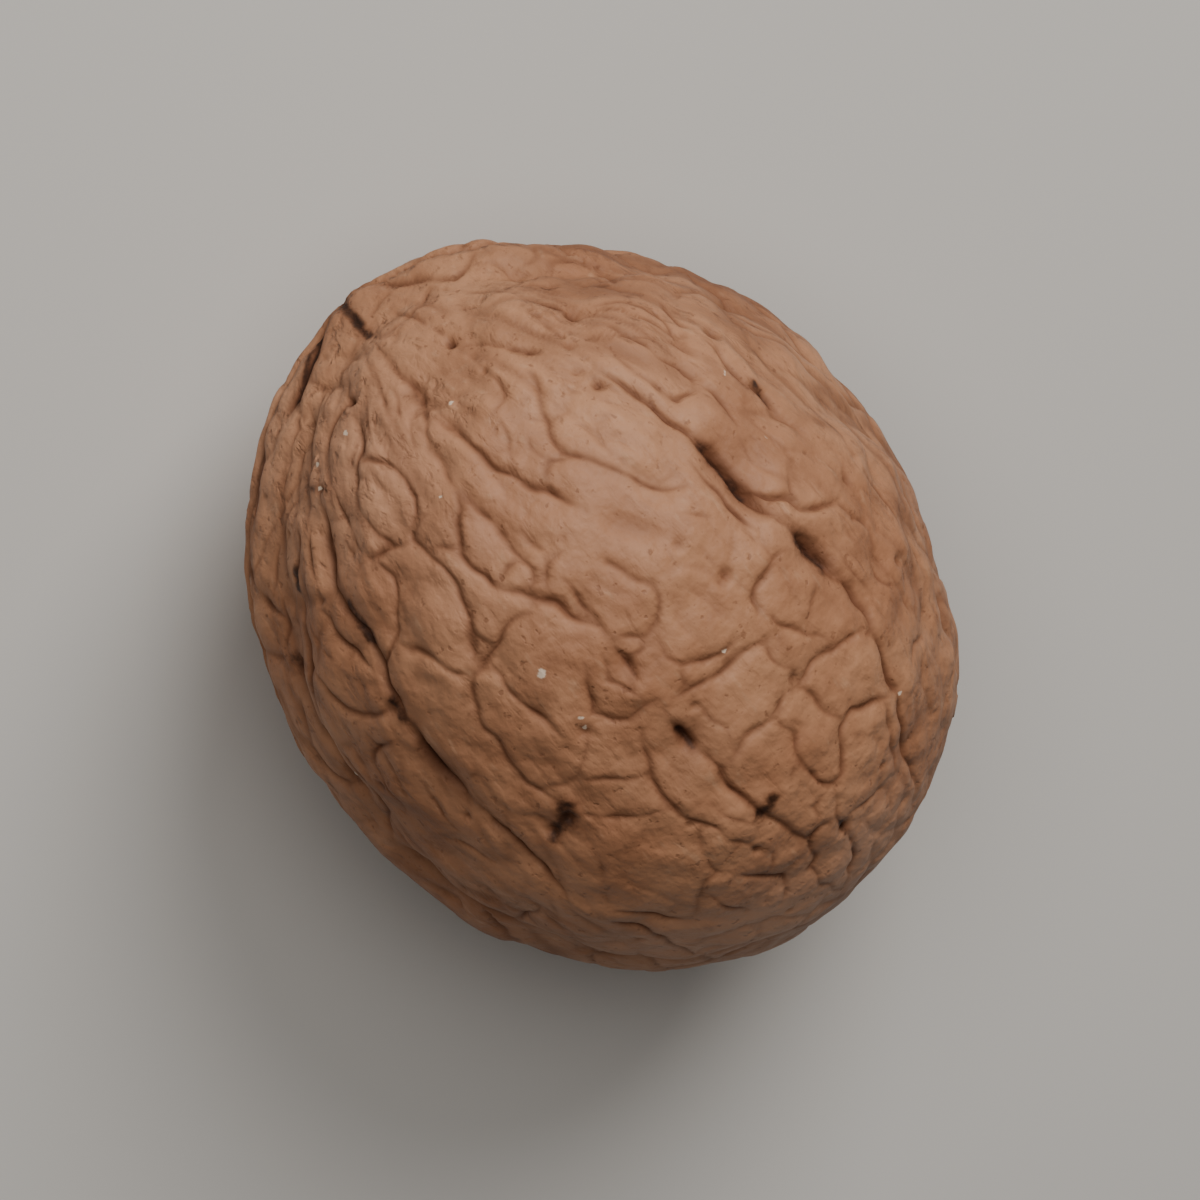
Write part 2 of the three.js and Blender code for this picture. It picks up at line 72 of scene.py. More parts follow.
# Shapes are worked out in millimetres round the middle of the nut: X along it from
# the tip to the stem end, Y across it to the seam, Z up through the cheek.
MM = 0.001

# The upper cheek as it is seen from a little towards the tip. Places on it are traced
# in millimetres: along the nut from the tip, and across it from the middle.
SIGHT = np.array([-0.25, -0.1, 1.0])
SIGHT_DISTANCE = 300.0
TRACE_CENTRE = (19.35, -0.15)
# Lines are made of straight pieces of about this length
TRACE_STEP = 1.2

# Each kind of traced line has a depth, a half width, a darkness and its lines. The darkness is partly the
# lines' own dark colour and partly painted shade in them, and in the slots it is near black painted shadow
# across the whole opening.
SLOTS = (1.0, 0.28, 1.0, [
    [(15.9, 8.85), (17.2, 9.2), (18.6, 9.3), (19.9, 9.2), (21.1, 9.4)],
    [(22.5, 9.65), (23.4, 9.85), (24.6, 9.9), (25.8, 10)],
    [(26.4, -1.15), (27.2, -1.25), (28, -1.15)],
    [(17.9, -11.4), (19.2, -11.8), (20.8, -11.9), (22.5, -11.7)],
])
NARROW_SLOTS = (0.5, 0.19, 1.0, [
    [(15.4, 12.7), (16.4, 12.95), (17.3, 12.9)],
    [(0.3, -1.1), (0.9, -3), (1.5, -4.6), (2.3, -6.3)],
])
FURROWS = (0.42, 0.17, 0.85, [
    [(0.5, 1.2), (1.3, 3.2), (2.1, 4.7), (2.2, 6)],
    [(-0.1, -0.4), (0.6, -0.42), (1.3, -0.52)],
    [(9.8, 7.1), (11.6, 7.8), (13.2, 8.25), (14.6, 8.55), (16.2, 8.85)],
    [(19.3, 9.3), (20.2, 9.7), (21.2, 10.4), (22.4, 11), (22.9, 12.4)],
    [(20.9, 9.4), (21.8, 9.4), (22.8, 9.65)],
    [(25.4, 9.9), (27.4, 10), (29, 9.5), (31, 8.8), (32.4, 8.3), (34.6, 7.1), (36.8, 6)],
    [(12.3, 12.3), (14.5, 12.5), (15.7, 12.6)],
    [(17.1, 12.7), (18, 13.05), (19, 13.2)],
    [(2.2, -0.6), (4.2, -0.45), (6.3, -0.85), (7.2, -1.6), (8.6, -1.85), (10, -2)],
    [(6.4, -0.8), (7.2, -0.25), (10, 0.05), (12.4, 0.9), (13.2, 1.5), (15.3, 2.2)],
    [(15.4, -3.4), (16.3, -2.9), (17.4, -1.95), (19.1, -1.6), (20, -1), (21.2, -0.95)],
    [(21.4, -0.95), (22.3, -1), (23.3, -1.15)],
    [(25, -1.1), (26.4, -1.2)],
    [(27.9, -1.2), (29, -0.8), (30.1, -1.1), (31.2, -0.9), (32.4, -0.6), (33.6, -0.2), (35.4, 0.2)],
    [(6.4, -7.7), (8.7, -9.4), (10.4, -10.2), (13.4, -10.3), (15.2, -10.95), (18, -11.3)],
    [(22.4, -11.5), (24.2, -11.45), (25.6, -11.2), (27.2, -11), (29.8, -10.8)],
    [(2.2, -7), (3.8, -8.9), (5.6, -10.9), (7.4, -12.2), (9.6, -13)],
    [(9.2, -11.8), (11.4, -12.8), (13.6, -14), (15, -14.6)],
    [(16.4, -14.8), (19.4, -15), (21.6, -15.8)],
    [(14.2, -9.5), (15.4, -8.6), (17, -8.1), (17.9, -7.5)],
])
CREASES = (0.3, 0.14, 0.85, [
    [(10, -2), (11.3, -2.55), (12.2, -3.6), (13.4, -4.05), (14.9, -3.6), (15.6, -3.3)],
    [(16.8, 7.9), (18.6, 7.95), (20.4, 8.05), (21.4, 8.25)],
    [(19.6, 8.9), (20.6, 9.3), (21.5, 9.5), (22, 9.9)],
    [(3.8, -3), (5.4, -4.3), (6.5, -5.4), (7.7, -6.4), (9.9, -6.5), (10.5, -5.8)],
    [(10.2, -4), (10.7, -5.35), (12, -5.15), (13.2, -4.95), (14.9, -5.4), (16.2, -6.05), (17.4, -5.75)],
    [(15.4, -5.85), (16.8, -6.4), (17.7, -7.1)],
    [(11.6, -5), (12.1, -4.3), (12.5, -3.8)],
    [(5.7, -6.6), (7, -7.1), (8.5, -7.6), (10, -7.75)],
    [(5.9, -4.9), (6.4, -4.2), (7.5, -3.8), (8.8, -3.7), (9.8, -4.2), (10.3, -5.1)],
    [(10.5, -5.9), (10.1, -7), (10, -8)],
    [(10.2, -7.4), (11.6, -7.4), (13, -8.4), (14.1, -9.4), (14.3, -10.3), (15.1, -10.8)],
    [(17.2, -3), (17.3, -5.2), (17.8, -6.6), (18, -7.5), (19.5, -8.5), (21.6, -8.6), (23, -9),
     (24.6, -8.6), (26, -8)],
    [(24.6, -8.4), (25.2, -7.4), (25.1, -6.6), (24.4, -5.4), (23.9, -4.9)],
    [(17.8, -6.35), (19.2, -6.25), (20, -6.5), (21.3, -6.1), (23, -5.9)],
    [(21, -2.8), (22.2, -3.3), (23.5, -4), (24.3, -3.1), (24.8, -2.2), (24.6, -1.3), (25.1, -0.2),
     (25.6, 0.9), (25.8, 2), (25.8, 3.4), (26, 5.2)],
    [(25, 4), (25.1, 2.9), (24.5, 1.5), (23.6, 0.8), (22.1, 0.9)],
    [(25.6, 0.9), (24.9, 0.55), (24.2, 0.9)],
    [(17.8, 1.5), (19.1, 1.9), (20.2, 2.6), (21.3, 1.9), (22, 0.9), (21.3, -0.3), (20.7, -1)],
    [(17.2, -0.75), (19.2, -0.85), (21, -0.9)],
    [(13.9, -0.95), (15.3, -0.7)],
    [(16.1, 0), (16, -0.9), (16.6, -1.5), (17.3, -1.8)],
    [(10, -2), (12, -1.75), (14.9, -1.75), (16, -1.8), (16.6, -2.5)],
    [(15, -1.8), (14.9, -2.6), (15.2, -3.4)],
    [(8.2, 4.5), (9.4, 4.2), (10.4, 3.5), (12, 3.25), (13.2, 3.9), (15, 5), (16.6, 5.7), (17.4, 6.8)],
    [(12.5, 3.1), (12.2, 2.4), (12.8, 1.6)],
    [(4.5, 2.7), (5.4, 3.9), (6.8, 4.9), (8, 6)],
    [(1.2, 1.2), (2.5, 2), (4.3, 2.5)],
    [(6.4, 3), (8, 2.9), (8.6, 2)],
    [(4.6, 6.2), (5.9, 7.6), (6.6, 8.2)],
    [(23.1, 8.9), (23.1, 7.7), (23.8, 6.1), (24.7, 5.6)],
    [(25.2, 6.1), (26.5, 6.5), (28.2, 7.7)],
    [(28.6, 9.1), (28.5, 7.6), (28.3, 6.5), (28.8, 5.2), (28.8, 4), (29.1, 3), (29.1, 1.5), (29.5, -0.3)],
    [(29.1, 3.1), (31, 3), (31.9, 2.4), (33.2, 2.6), (33.7, 3.3), (33, 4.2), (31.6, 5.4),
     (31.7, 6.8), (32, 8.2)],
    [(28.9, 5.2), (30, 5.1), (31.6, 5.4)],
    [(32.3, 7.5), (33.8, 6.7), (35.3, 6)],
    [(35.6, 5.2), (35.4, 2.7)],
    [(34.1, 2.8), (35, 2.2), (37.2, 1.8), (38.2, 0.3)],
    [(35, 2.1), (35, 0.9), (35.4, 0.2), (36.2, 0), (36.7, -0.7), (38.3, -0.1)],
    [(25, -2.5), (26.6, -3.2), (27.6, -3.85), (29.4, -3.9), (30.7, -3.4), (32, -2.6), (33.8, -2)],
    [(30.8, -3.5), (32.4, -4.25), (33.2, -4.2), (33.2, -5.3), (34.3, -6.5)],
    [(27.2, -4), (26, -6), (25.4, -6.5)],
    [(29.2, -4.2), (28.3, -6), (26.8, -7.6)],
    [(34.1, -3.4), (35.3, -2.5), (36.1, -1.9), (36.8, -2.9)],
    [(31.8, -9.9), (33.5, -8.9), (35.8, -8)],
    [(31.4, -9.2), (33.3, -8), (34.1, -7.2)],
    [(29.1, -12.3), (28.7, -13.9)],
    [(10.2, -11.1), (12.6, -11.35), (14.5, -11.1)],
    [(16.5, -11.4), (16.1, -12.7), (14.6, -13.3), (12.8, -13.2)],
    [(17.9, -12.2), (17.6, -13.4), (18.1, -14)],
    [(1.8, -2.3), (3.3, -3.3), (3.5, -4.9), (4.6, -6.1)],
    [(2.1, -5), (3.9, -6.6), (5, -7.7)],
    [(8.9, 9.1), (10.1, 9.6), (11.9, 10.1), (12.8, 10.7), (13.8, 10.7), (14, 9.7), (12.8, 9), (11.5, 8.5)],
    [(14, 10.7), (15.2, 11.2), (16.8, 11)],
    [(16.6, 9.7), (16.3, 8.8)],
    [(20.2, 11.5), (21.2, 10.8), (22.1, 10.8)],
    [(25.4, 8.7), (26.4, 7.5)],
    [(23.2, -14), (24.2, -13.2), (26, -12.6)],
    [(23, 12.2), (24.2, 12.5), (25, 12.6)],
    [(21.6, 13.6), (22.3, 13.3), (23.8, 13.1)],
    [(30.9, 11.3), (31, 10.6), (31.5, 9.9)],
])
WRINKLES = (0.16, 0.11, 0.7, [
    [(4.2, 7.2), (5.4, 8.6), (6.3, 9.9)],
    [(5.8, 6.5), (6.6, 6.8), (7.8, 6.9)],
    [(2.6, 4.4), (3.6, 5.6), (4.9, 6.6)],
    [(4.5, 2.4), (5.4, 2.9), (6.4, 3)],
    [(7, 10.4), (7.6, 10.9), (8.6, 10.8)],
    [(7.4, 9.4), (8.8, 10.9), (10.4, 11.4), (11.8, 11.5)],
    [(9.2, 8.1), (10.4, 8.5), (11.6, 8.5)],
    [(1.6, -1), (2.6, -1.3), (3.6, -1.9)],
    [(2.4, -1), (3.5, -1.5), (4.6, -2.1), (5.1, -2.2)],
    [(4.2, -1.2), (5.6, -1.8), (6.6, -2.2)],
    [(3.2, -2.2), (4.4, -3), (5.2, -3.6)],
    [(7.2, -6.6), (8.3, -6.9), (9.4, -7)],
    [(8.4, -8), (9.6, -8.4)],
    [(9.9, -8.1), (10.2, -8.7)],
    [(6.2, -9.2), (7.2, -9.9), (8.2, -10.9), (8.9, -11.6)],
    [(5.2, -8.6), (6, -10), (7.2, -11.4), (8.6, -12.5)],
    [(4.4, -7.8), (5.2, -9.3), (6.4, -11.1), (7.6, -12.3)],
    [(3.2, -6.4), (4.4, -8.1)],
    [(1.4, -3), (2.2, -4.4), (3.4, -6)],
    [(6.8, -8.9), (8, -9.9), (9.6, -10.6)],
    [(9.8, -11.4), (10.1, -10.8), (10.4, -10.5)],
    [(8.8, -12.4), (10.4, -13.4), (12, -14.2)],
    [(10.4, -12), (11.6, -12.3), (12.8, -12.2)],
    [(15.3, -5.1), (15.7, -5.7)],
    [(21.2, -1.6), (22.2, -2.1), (23, -2.2), (23.8, -1.6), (24.4, -1.4)],
    [(22, 0.9), (22.4, -0.2), (22.2, -0.9)],
    [(23.9, -10.3), (24.9, -10.9)],
    [(19.2, -8.5), (19.5, -9)],
    [(9.4, 12), (10.6, 11.9), (11.8, 12.3)],
    [(17.3, 10.7), (18.7, 10.6)],
    [(18.4, 6), (19.3, 6.7)],
    [(12.3, 2.4), (11.2, 2.2), (10.4, 2.6)],
    [(8.8, 2), (10, 1.4), (11.2, 1)],
    [(26.4, 11.6), (27.4, 11.4), (28.2, 11.7)],
    [(24.6, 10.8), (26, 10.6), (27.6, 10.7)],
    [(22.6, 14), (24.2, 14.1), (25.6, 13.7)],
    [(28.6, 12.6), (29.4, 11.8), (30, 11.6)],
    [(36.1, 5), (36.6, 4.5)],
    [(31.6, 2.3), (31.9, 1.8), (32.3, 1.6)],
    [(33.7, 2.6), (33.9, 1.6), (34.8, 1.1)],
    [(32.5, -2.2), (32.9, -3.3)],
    [(30.4, -2.3), (31.6, -1.9), (32.5, -1.4)],
    [(34.3, -1.4), (35.1, -2.2)],
    [(33.4, -5.3), (34.8, -5), (36, -4.4)],
    [(29, -8.3), (29.9, -8.7)],
    [(30.2, -9.3), (31.4, -9.3)],
    [(28.9, -11.5), (29.8, -11.8)],
    [(26.2, 0.2), (27.6, 0.6), (29, 0.4)],
    [(26, 5), (27, 4.8), (28.2, 5.1)],
    [(20.4, -12.8), (21.8, -13.1), (23.4, -13)],
    [(18.2, -14), (19.6, -14.1), (21.2, -14.6)],
])
HOLLOWS = (0.25, 0.6, 0.12, [
    [(15.2, 2.2), (17, 3.3), (19.4, 4.8)],
    [(12.2, 3.3), (14.6, 4.6), (17.2, 6.5)],
    [(12.6, 13.2), (14.5, 13.5), (16.6, 13.3)],
    [(12.2, -14.1), (14.4, -14.7)],
])
LINE_KINDS = (SLOTS, NARROW_SLOTS, FURROWS, CREASES, WRINKLES, HOLLOWS)
# Broad hills and hollows of the upper cheek: along, across, radius, height
BROAD = [
    (5, 10.8, 4.5, -0.7), (33.5, 11.5, 4, 0.8), (14.8, 13.8, 1.5, -0.2), (1, 4.5, 3, 0.45),
    (15, 15.6, 4, 0.4), (31.5, -12.5, 3, -0.45),
]

# Small holes in the upper cheek: along, across, radius, depth
PITS = [
    (10.7, 6.8, 0.35, 0.4), (8.2, 7, 0.3, 0.3), (12.4, 12.8, 0.5, 0.3), (19.4, 4.7, 0.35, 0.2),
    (22.2, 5.6, 0.35, 0.4), (22.3, 5.2, 0.25, 0.3), (35.8, 2.1, 0.35, 0.5), (3.3, -3.3, 0.3, 0.5),
    (4.2, 2.5, 0.3, 0.5), (33.7, -2, 0.25, 0.35), (30.5, -3.7, 0.25, 0.35), (4.8, -7.8, 0.3, 0.3),
    (5.7, -7.3, 0.25, 0.3), (6.9, 8.3, 0.4, 0.5), (23.7, -4.9, 0.45, 0.3), (28.4, 4.9, 0.3, 0.3),
    (26.6, -9.4, 0.35, 0.3), (26.6, -8.3, 0.4, 0.4), (32.4, -0.8, 0.25, 0.4), (24.1, 12.4, 0.2, 0.25),
    (27.1, 12.6, 0.3, 0.25), (12, -13.9, 0.5, 0.5), (9.5, 6.4, 0.25, 0.3), (6.5, 2.9, 0.25, 0.3),
    (10.3, -6.3, 0.25, 0.3), (16.6, -11.6, 0.5, 0.35), (19.2, -14.4, 0.35, 0.3), (13.1, -11.4, 0.2, 0.25),
    (28, -6.4, 0.2, 0.3), (34.6, 5.5, 0.25, 0.25), (24.2, -15.1, 0.25, 0.3), (25.9, -14.6, 0.2, 0.25),
    (28.6, 8.4, 0.25, 0.3), (29, 9.3, 0.3, 0.3), (13.2, 5.7, 0.35, 0.12), (15.5, 0.5, 0.2, 0.15),
    (17.9, 0.3, 0.2, 0.15), (33.1, -4.2, 0.2, 0.25), (37.4, -2.75, 0.2, 0.2), (9.2, -8.2, 0.2, 0.25),
    (6.4, -10.1, 0.2, 0.25), (8.4, -11.2, 0.25, 0.25), (10.1, -11, 0.25, 0.3), (11.6, 11.4, 0.25, 0.15),
    (7.6, 7.1, 0.2, 0.2), (21.8, -10.6, 0.2, 0.2), (23.2, -12.3, 0.25, 0.3), (33.6, -9.6, 0.3, 0.25),
    (26.3, 0.2, 0.3, 0.25),
]
# Dark smudges on the upper cheek, stains and, along the slots, painted shadow: strength, half width, then
# the places they run through
SMUDGES = [
    (1.0, 0.38, (0, -0.42), (1.3, -0.5)), (0.9, 0.25, (0.5, -1.9), (1.7, -5)),
    (1.0, 0.75, (26, -8.1), (26.6, -8.5)),
    (1.0, 0.3, (15.7, 12.95), (16.9, 12.95)), (0.7, 0.3, (22.3, -1), (23.1, -1.1)),
    (0.9, 0.6, (26.6, -9), (26.8, -9.6)), (1.0, 0.5, (32.2, 0.2), (32.5, -0.9)),
    (1.0, 0.5, (11.2, -10), (13.2, -10.3)), (0.9, 0.4, (16.2, -11.3), (17.6, -11.5)),
    (1.0, 0.6, (23.1, 9.6), (25, 9.75)), (1.0, 0.5, (16.5, 8.95), (19.2, 9.2)),
    (0.9, 0.5, (11.4, -13.8), (12.7, -14)), (0.9, 0.4, (26.7, -1.2), (27.8, -1.2)),
    (0.9, 0.3, (35.5, 2.1), (36.1, 2)), (0.5, 0.7, (26, 5.8), (27.4, 5.4)),
    (0.6, 0.3, (28.1, 5.2), (28.8, 4.5)), (1.0, 0.35, (8, -10.9), (8.8, -11.5)),
    (0.8, 0.25, (3.2, -3.2), (3.4, -3.4)), (0.8, 0.25, (4.1, 2.5), (4.3, 2.5)),
    (0.5, 0.4, (10.3, 6.9), (11, 6.9)), (0.6, 0.3, (19, -14.4), (19.5, -14.4)),
    (0.5, 0.3, (34.5, 5.7), (34.9, 5.2)), (0.4, 0.4, (12.1, 13.1), (13.2, 12.5)),
    (0.5, 0.35, (10.8, 7.4), (14.2, 8.4)), (0.5, 0.3, (30, 9.1), (33.5, 7.7)),
    (0.6, 0.28, (4.5, -0.5), (6.3, -0.85)), (0.7, 0.35, (5, -7.9), (6, -7.2)),
]
# Broad patches of the upper cheek that are paler, or are deeper in colour where the strength is below
# nought: along, across, radius, strength. They are partly the shell's own wear and tone and partly painted
# light and shade, such as painted light at the stem end and painted shade in the hollow round a slot and
# on the lower rim.
PATCHES = [
    (6.5, -5, 5.5, 0.6), (2.5, -7.5, 4, 0.45), (13, -4.5, 4, 0.35), (37, -4, 4, 1.0), (37.5, 2, 3.5, 0.8),
    (35, -8.5, 3.5, 0.8), (12.5, 3, 5.5, 0.3), (12, 8.5, 5, 0.2), (19, 9.5, 4, 0.2), (28, -1.6, 3.4, -0.5),
    (28.5, -7, 3, -0.2), (33.5, 10, 3, -0.25), (20, -12.5, 6, -0.3),
]
# White flecks on the upper cheek: along, across, radius
FLECKS = [
    (20, -4.6, 0.3), (6.5, 0.55, 0.18), (4.4, -4.5, 0.18), (14.3, 12, 0.18), (25.1, 3.2, 0.16),
    (18.1, 11.8, 0.14), (23, -4.6, 0.15), (23.6, -4.8, 0.15), (32.3, 8.5, 0.14), (17.9, -15, 0.2),
    (4.6, -6.7, 0.2), (5.6, -7.4, 0.16), (10.1, -2.8, 0.15),
]


# What follows is in millimetres, apart from shares and darkness, which run from 0 to 1. A
# size that is drawn is a pair: its least value and its range.

# Draws are the last digits of a stretched sine, and uneven waves are sums of plane waves
DRAW_TURN = 12.9898
DRAW_SPREAD = 43758.5453
WAVE_COUNT = 7
WAVE_STRETCH = (0.7, 0.6)
# Steps by which a curve's length is measured
CURVE_STEPS = 200

# Lines stray, and away from the slots they come and go. A groove is part sharp middle and
# part soft shoulder, and it is shallower at its ends. Past the limit no line is felt.
FRAY = 0.12
STEADINESS = 0.85
STEADINESS_CHANGE = 0.35
STEADINESS_RANGE = (0.35, 1.3)
GROOVE_MIDDLE = 0.6
GROOVE_SHOULDER = 0.45
END_DEPTH = 0.35
END_STEPS = 2
LINE_LIMIT = 3.5
# The shade in a line: shares of its half width for slots and for others, and what is added
SLOT_SHADE = 1.3
LINE_SHADE = 0.65
SHADE_REACH = 0.07
SHADE_LEAST = 0.1
# Grid points gather towards the lines within reach by a share of the way, and towards the
# net where more than GATHER_NET of it shows
GATHER_REACH = 0.8
GATHER_SHARE = 0.65
GATHER_NET = 0.5

# Furrows of the lower cheek. Start, span and end are shares of the half length.
HIDDEN_FURROWS = 14
HIDDEN_PLACES = 6
HIDDEN_START = (-0.75, 0.8)
HIDDEN_SPAN = (0.45, 0.5)
HIDDEN_END = 0.93
HIDDEN_SWAY = 0.22
HIDDEN_DEPTH = (0.45, 0.5)
HIDDEN_REACH = 0.28
HIDDEN_DARK = 0.85

# The drawn net: it is squeezed along the nut, its weakest lines are missing, and its lines
# stronger than NET_WHOLE run whole
NET_STRETCH = np.array([0.6, 1, 1])
NET_STRAY_ALONG = 0.05
NET_STRAY_ACROSS = 0.12
NET_WANDER = 0.55
NET_MISSING = 0.05
NET_WHOLE = 0.45
NET_FAINTEST = 0.35
NET_REACH = 0.17
NET_SHOULDER = 0.77
NET_DARK = 0.65
NET_SHADE_REACH = 0.16
# The room it leaves beside other lines, the heights, as shares of the half height, between
# which it gives way to the traced lines, and how much of it goes there and by the seam
NET_ROOM = (0.2, 1.1)
NET_HEIGHTS = (0.12, 0.42)
NET_TRACED_LESS = 0.7
NET_SEAM_LESS = 0.6
NET_SEAM_REACH = 1.5

# Pits: the shade's half width as a share of theirs, and its darkness for each millimetre
PIT_SHADE = 0.8
PIT_DARKENING = 2
PIT_DARKEST = 0.9


class Fold(NamedTuple):
    """A fold of the shell: depth, half width, darkness and the half width of the shade."""

    depth: float
    reach: float
    dark: float
    shade: float


# The seam's sway and its climb beside the tip, its ridge and crack, and the valley with a
# fold in it on either side, which the traced lines replace from the middle to the tip
SEAM_SWAY = 0.35
SEAM_CLIMB = 0.3
SEAM_CLIMB_REACH = 4.0
RIDGE_REACH = 1.7
CRACK = Fold(0.45, 0.17, 0.8, 0.12)
VALLEY_ASIDE = 3.2
VALLEY_SWAY = 0.6
VALLEY_STRENGTH = 0.5
VALLEY_CHANGE = 0.7
VALLEY_DEPTH = 0.3
VALLEY_LEAST = 0.4
VALLEY_REACH = 0.8
VALLEY_FOLD = Fold(0.3, 0.2, 0.6, 0.18)
VALLEY_TRACED = 8

# Roughness: its reach from the tip, the heights, as shares of the half height, between which
# the flanks end, one side of the upper cheek, and the calmer stem end
ROUGH_TIP_REACH = 9.0
ROUGH_FLANK = (0.45, 0.75)
ROUGH_FLANK_SHARE = 0.6
ROUGH_SIDE = (3, 10)
ROUGH_SIDE_SHARE = 0.5
STEM_END = (11, 4)
STEM_END_CALM = 0.6
ROUGH_LEAST = 0.15

# Wrinkles that meet at the ends, and the streaks among them
FAN = Fold(0.6, 0.3, 0.45, 0.22)
FAN_SHOULDER = 0.7
FAN_STRETCH = 0.22
FAN_ROOM = (5, 11)
STREAK_EDGES = (0.15, 0.9)
STREAK_FLANK = (0.5, 0.85)
STREAK_REACH = 14

# The finest creases
CRUMPLE = Fold(0.5, 0.2, 0.5, 0.17)
CRUMPLE_SHOULDER = 0.5
CRUMPLE_STRETCH = np.array([0.8, 1, 1])
CRUMPLE_FRAY = 0.3
CRUMPLE_EDGES = (-0.2, 0.4)

# Heights of the uneven skin. A pair is the height on calm places and what roughness adds.
LUMP_HEIGHT = 0.22
RIPPLE_HEIGHTS = (0.09, 0.09)
DIMPLE_HEIGHTS = (0.06, 0.09)
CRUMPLE_HEIGHTS = (0.06, 0.12)
FAN_HEIGHT = 0.14
STREAK_DEPTH = 0.1
FLECK_HEIGHT = 0.08
# The skin is calmer by the seam
SEAM_CALM = 0.35
SEAM_CALM_REACH = 4.5
# One side of the upper cheek has deeper lines, and the stem end has paler ones
DEEPER_SIDE = (4, 11)
DEEPER = 0.35
PALER_END = (8, 2)
PALER = 0.35
FINE_DARK_LEAST = 0.4
# The tip, the scar of the stem and the smooth flat spot
TIP_REACH = 1.6
SCAR_DEPTH = 0.35
SCAR_REACH = 1.8
FLAT_ROOM = (3.9, 6.5)


def draw(seed):
    """A number from 0 to 1 that is always the same for the same seed."""
    value = np.sin(np.asarray(seed, float) * DRAW_TURN) * DRAW_SPREAD
    return value - np.floor(value)


def draw_between(least, spread, seed):
    """A number from least to least + spread that is always the same for the same seed."""
    return least + spread * draw(seed)


def smooth(start, end, value):
    """A soft step from 0 at start to 1 at end."""
    share = np.clip((value - start) / (end - start), 0.0, 1.0)
    return share * share * (3.0 - 2.0 * share)


def bell(value, reach):
    """A bell curve, 1 in its middle and about a third at its reach."""
    return np.exp(-((value / reach) ** 2))


def on_rough(heights, rough):
    """The first height where the shell is calm, and both together where it is roughest."""
    return heights[0] + heights[1] * rough


def unit(vectors):
    """Vectors of length 1."""
    return vectors / np.linalg.norm(vectors, axis=-1, keepdims=True)


def make_waves(length, seed):
    """Uneven waves through space, from about -1 to 1: the sum of plane waves of about this
    length in drawn directions. Each number that is drawn has seeds of its own."""
    order = np.arange(WAVE_COUNT)
    along = 2 * draw(seed + 1.7 * order + 0.5) - 1
    turn = 2 * np.pi * draw(seed + 1.7 * order + 0.87)
    out = np.sqrt(1 - along * along)
    stretch = draw_between(*WAVE_STRETCH, seed + 3.1 * order) * 2 * np.pi / length
    vectors = np.stack([along, out * np.cos(turn), out * np.sin(turn)], axis=1) * stretch[:, None]
    phases = 2 * np.pi * draw(seed + 5.3 * order + 0.9)

    def waves(points):
        return np.sin(points @ vectors.T + phases).sum(axis=1) / math.sqrt(2 * WAVE_COUNT)

    return waves


def smooth_curve(places, step):
    """Points along a smooth curve through the places, about a step apart: each stretch is a
    cubic whose slope at a place is half the way from the place before to the place after."""
    places = np.asarray(places, float)
    ends = (2 * places[:1] - places[1:2], 2 * places[-1:] - places[-2:-1])
    around = np.concatenate([ends[0], places, ends[1]])

    def at(count):
        total = np.linspace(0, len(places) - 1, count + 1)
        first = np.minimum(total.astype(int), len(places) - 2)
        t = (total - first)[:, None]
        before, start, end, after = (around[first + i] for i in range(4))
        slope_start = (end - before) / 2
        slope_end = (after - start) / 2
        cubic = 2 * start - 2 * end + slope_start + slope_end
        square = -3 * start + 3 * end - 2 * slope_start - slope_end
        return cubic * t**3 + square * t**2 + slope_start * t + start

    length = np.linalg.norm(np.diff(at(CURVE_STEPS), axis=0), axis=1).sum()
    return at(max(2, math.ceil(length / step)))


class Line:
    """A line on the shell: short straight pieces, with a depth, a half width and a darkness."""

    def __init__(self, depth, reach, dark, points):
        self.depth = depth
        self.reach = reach
        self.dark = dark
        self.points = points
        self.shade_reach = reach * (SLOT_SHADE if dark == 1 else LINE_SHADE)
        self.middle = points.mean(axis=0)
        self.span = np.linalg.norm(points - self.middle, axis=1).max()

    def gap(self, places, limit):
        """Distance from each place to the line, the nearest spot on it, and how much of its
        depth is left there. Places further away than the limit are left at the limit."""
        distance = np.full(len(places), limit)
        spot = places.copy()
        fade = np.zeros(len(places))
        near = np.flatnonzero(np.linalg.norm(places - self.middle, axis=1) < self.span + limit)
        last = len(self.points) - 1
        for i in range(last):
            start = self.points[i]
            stretch = self.points[i + 1] - start
            share = np.clip((places[near] - start) @ stretch / (stretch @ stretch), 0, 1)
            found = start + share[:, None] * stretch
            away = np.linalg.norm(places[near] - found, axis=1)
            nearer = away < distance[near]
            chosen = near[nearer]
            distance[chosen] = away[nearer]
            spot[chosen] = found[nearer]
            run = np.minimum(i + share[nearer], last - i - share[nearer])
            fade[chosen] = np.minimum(1.0, END_DEPTH + run / END_STEPS)
        return distance, spot, fade


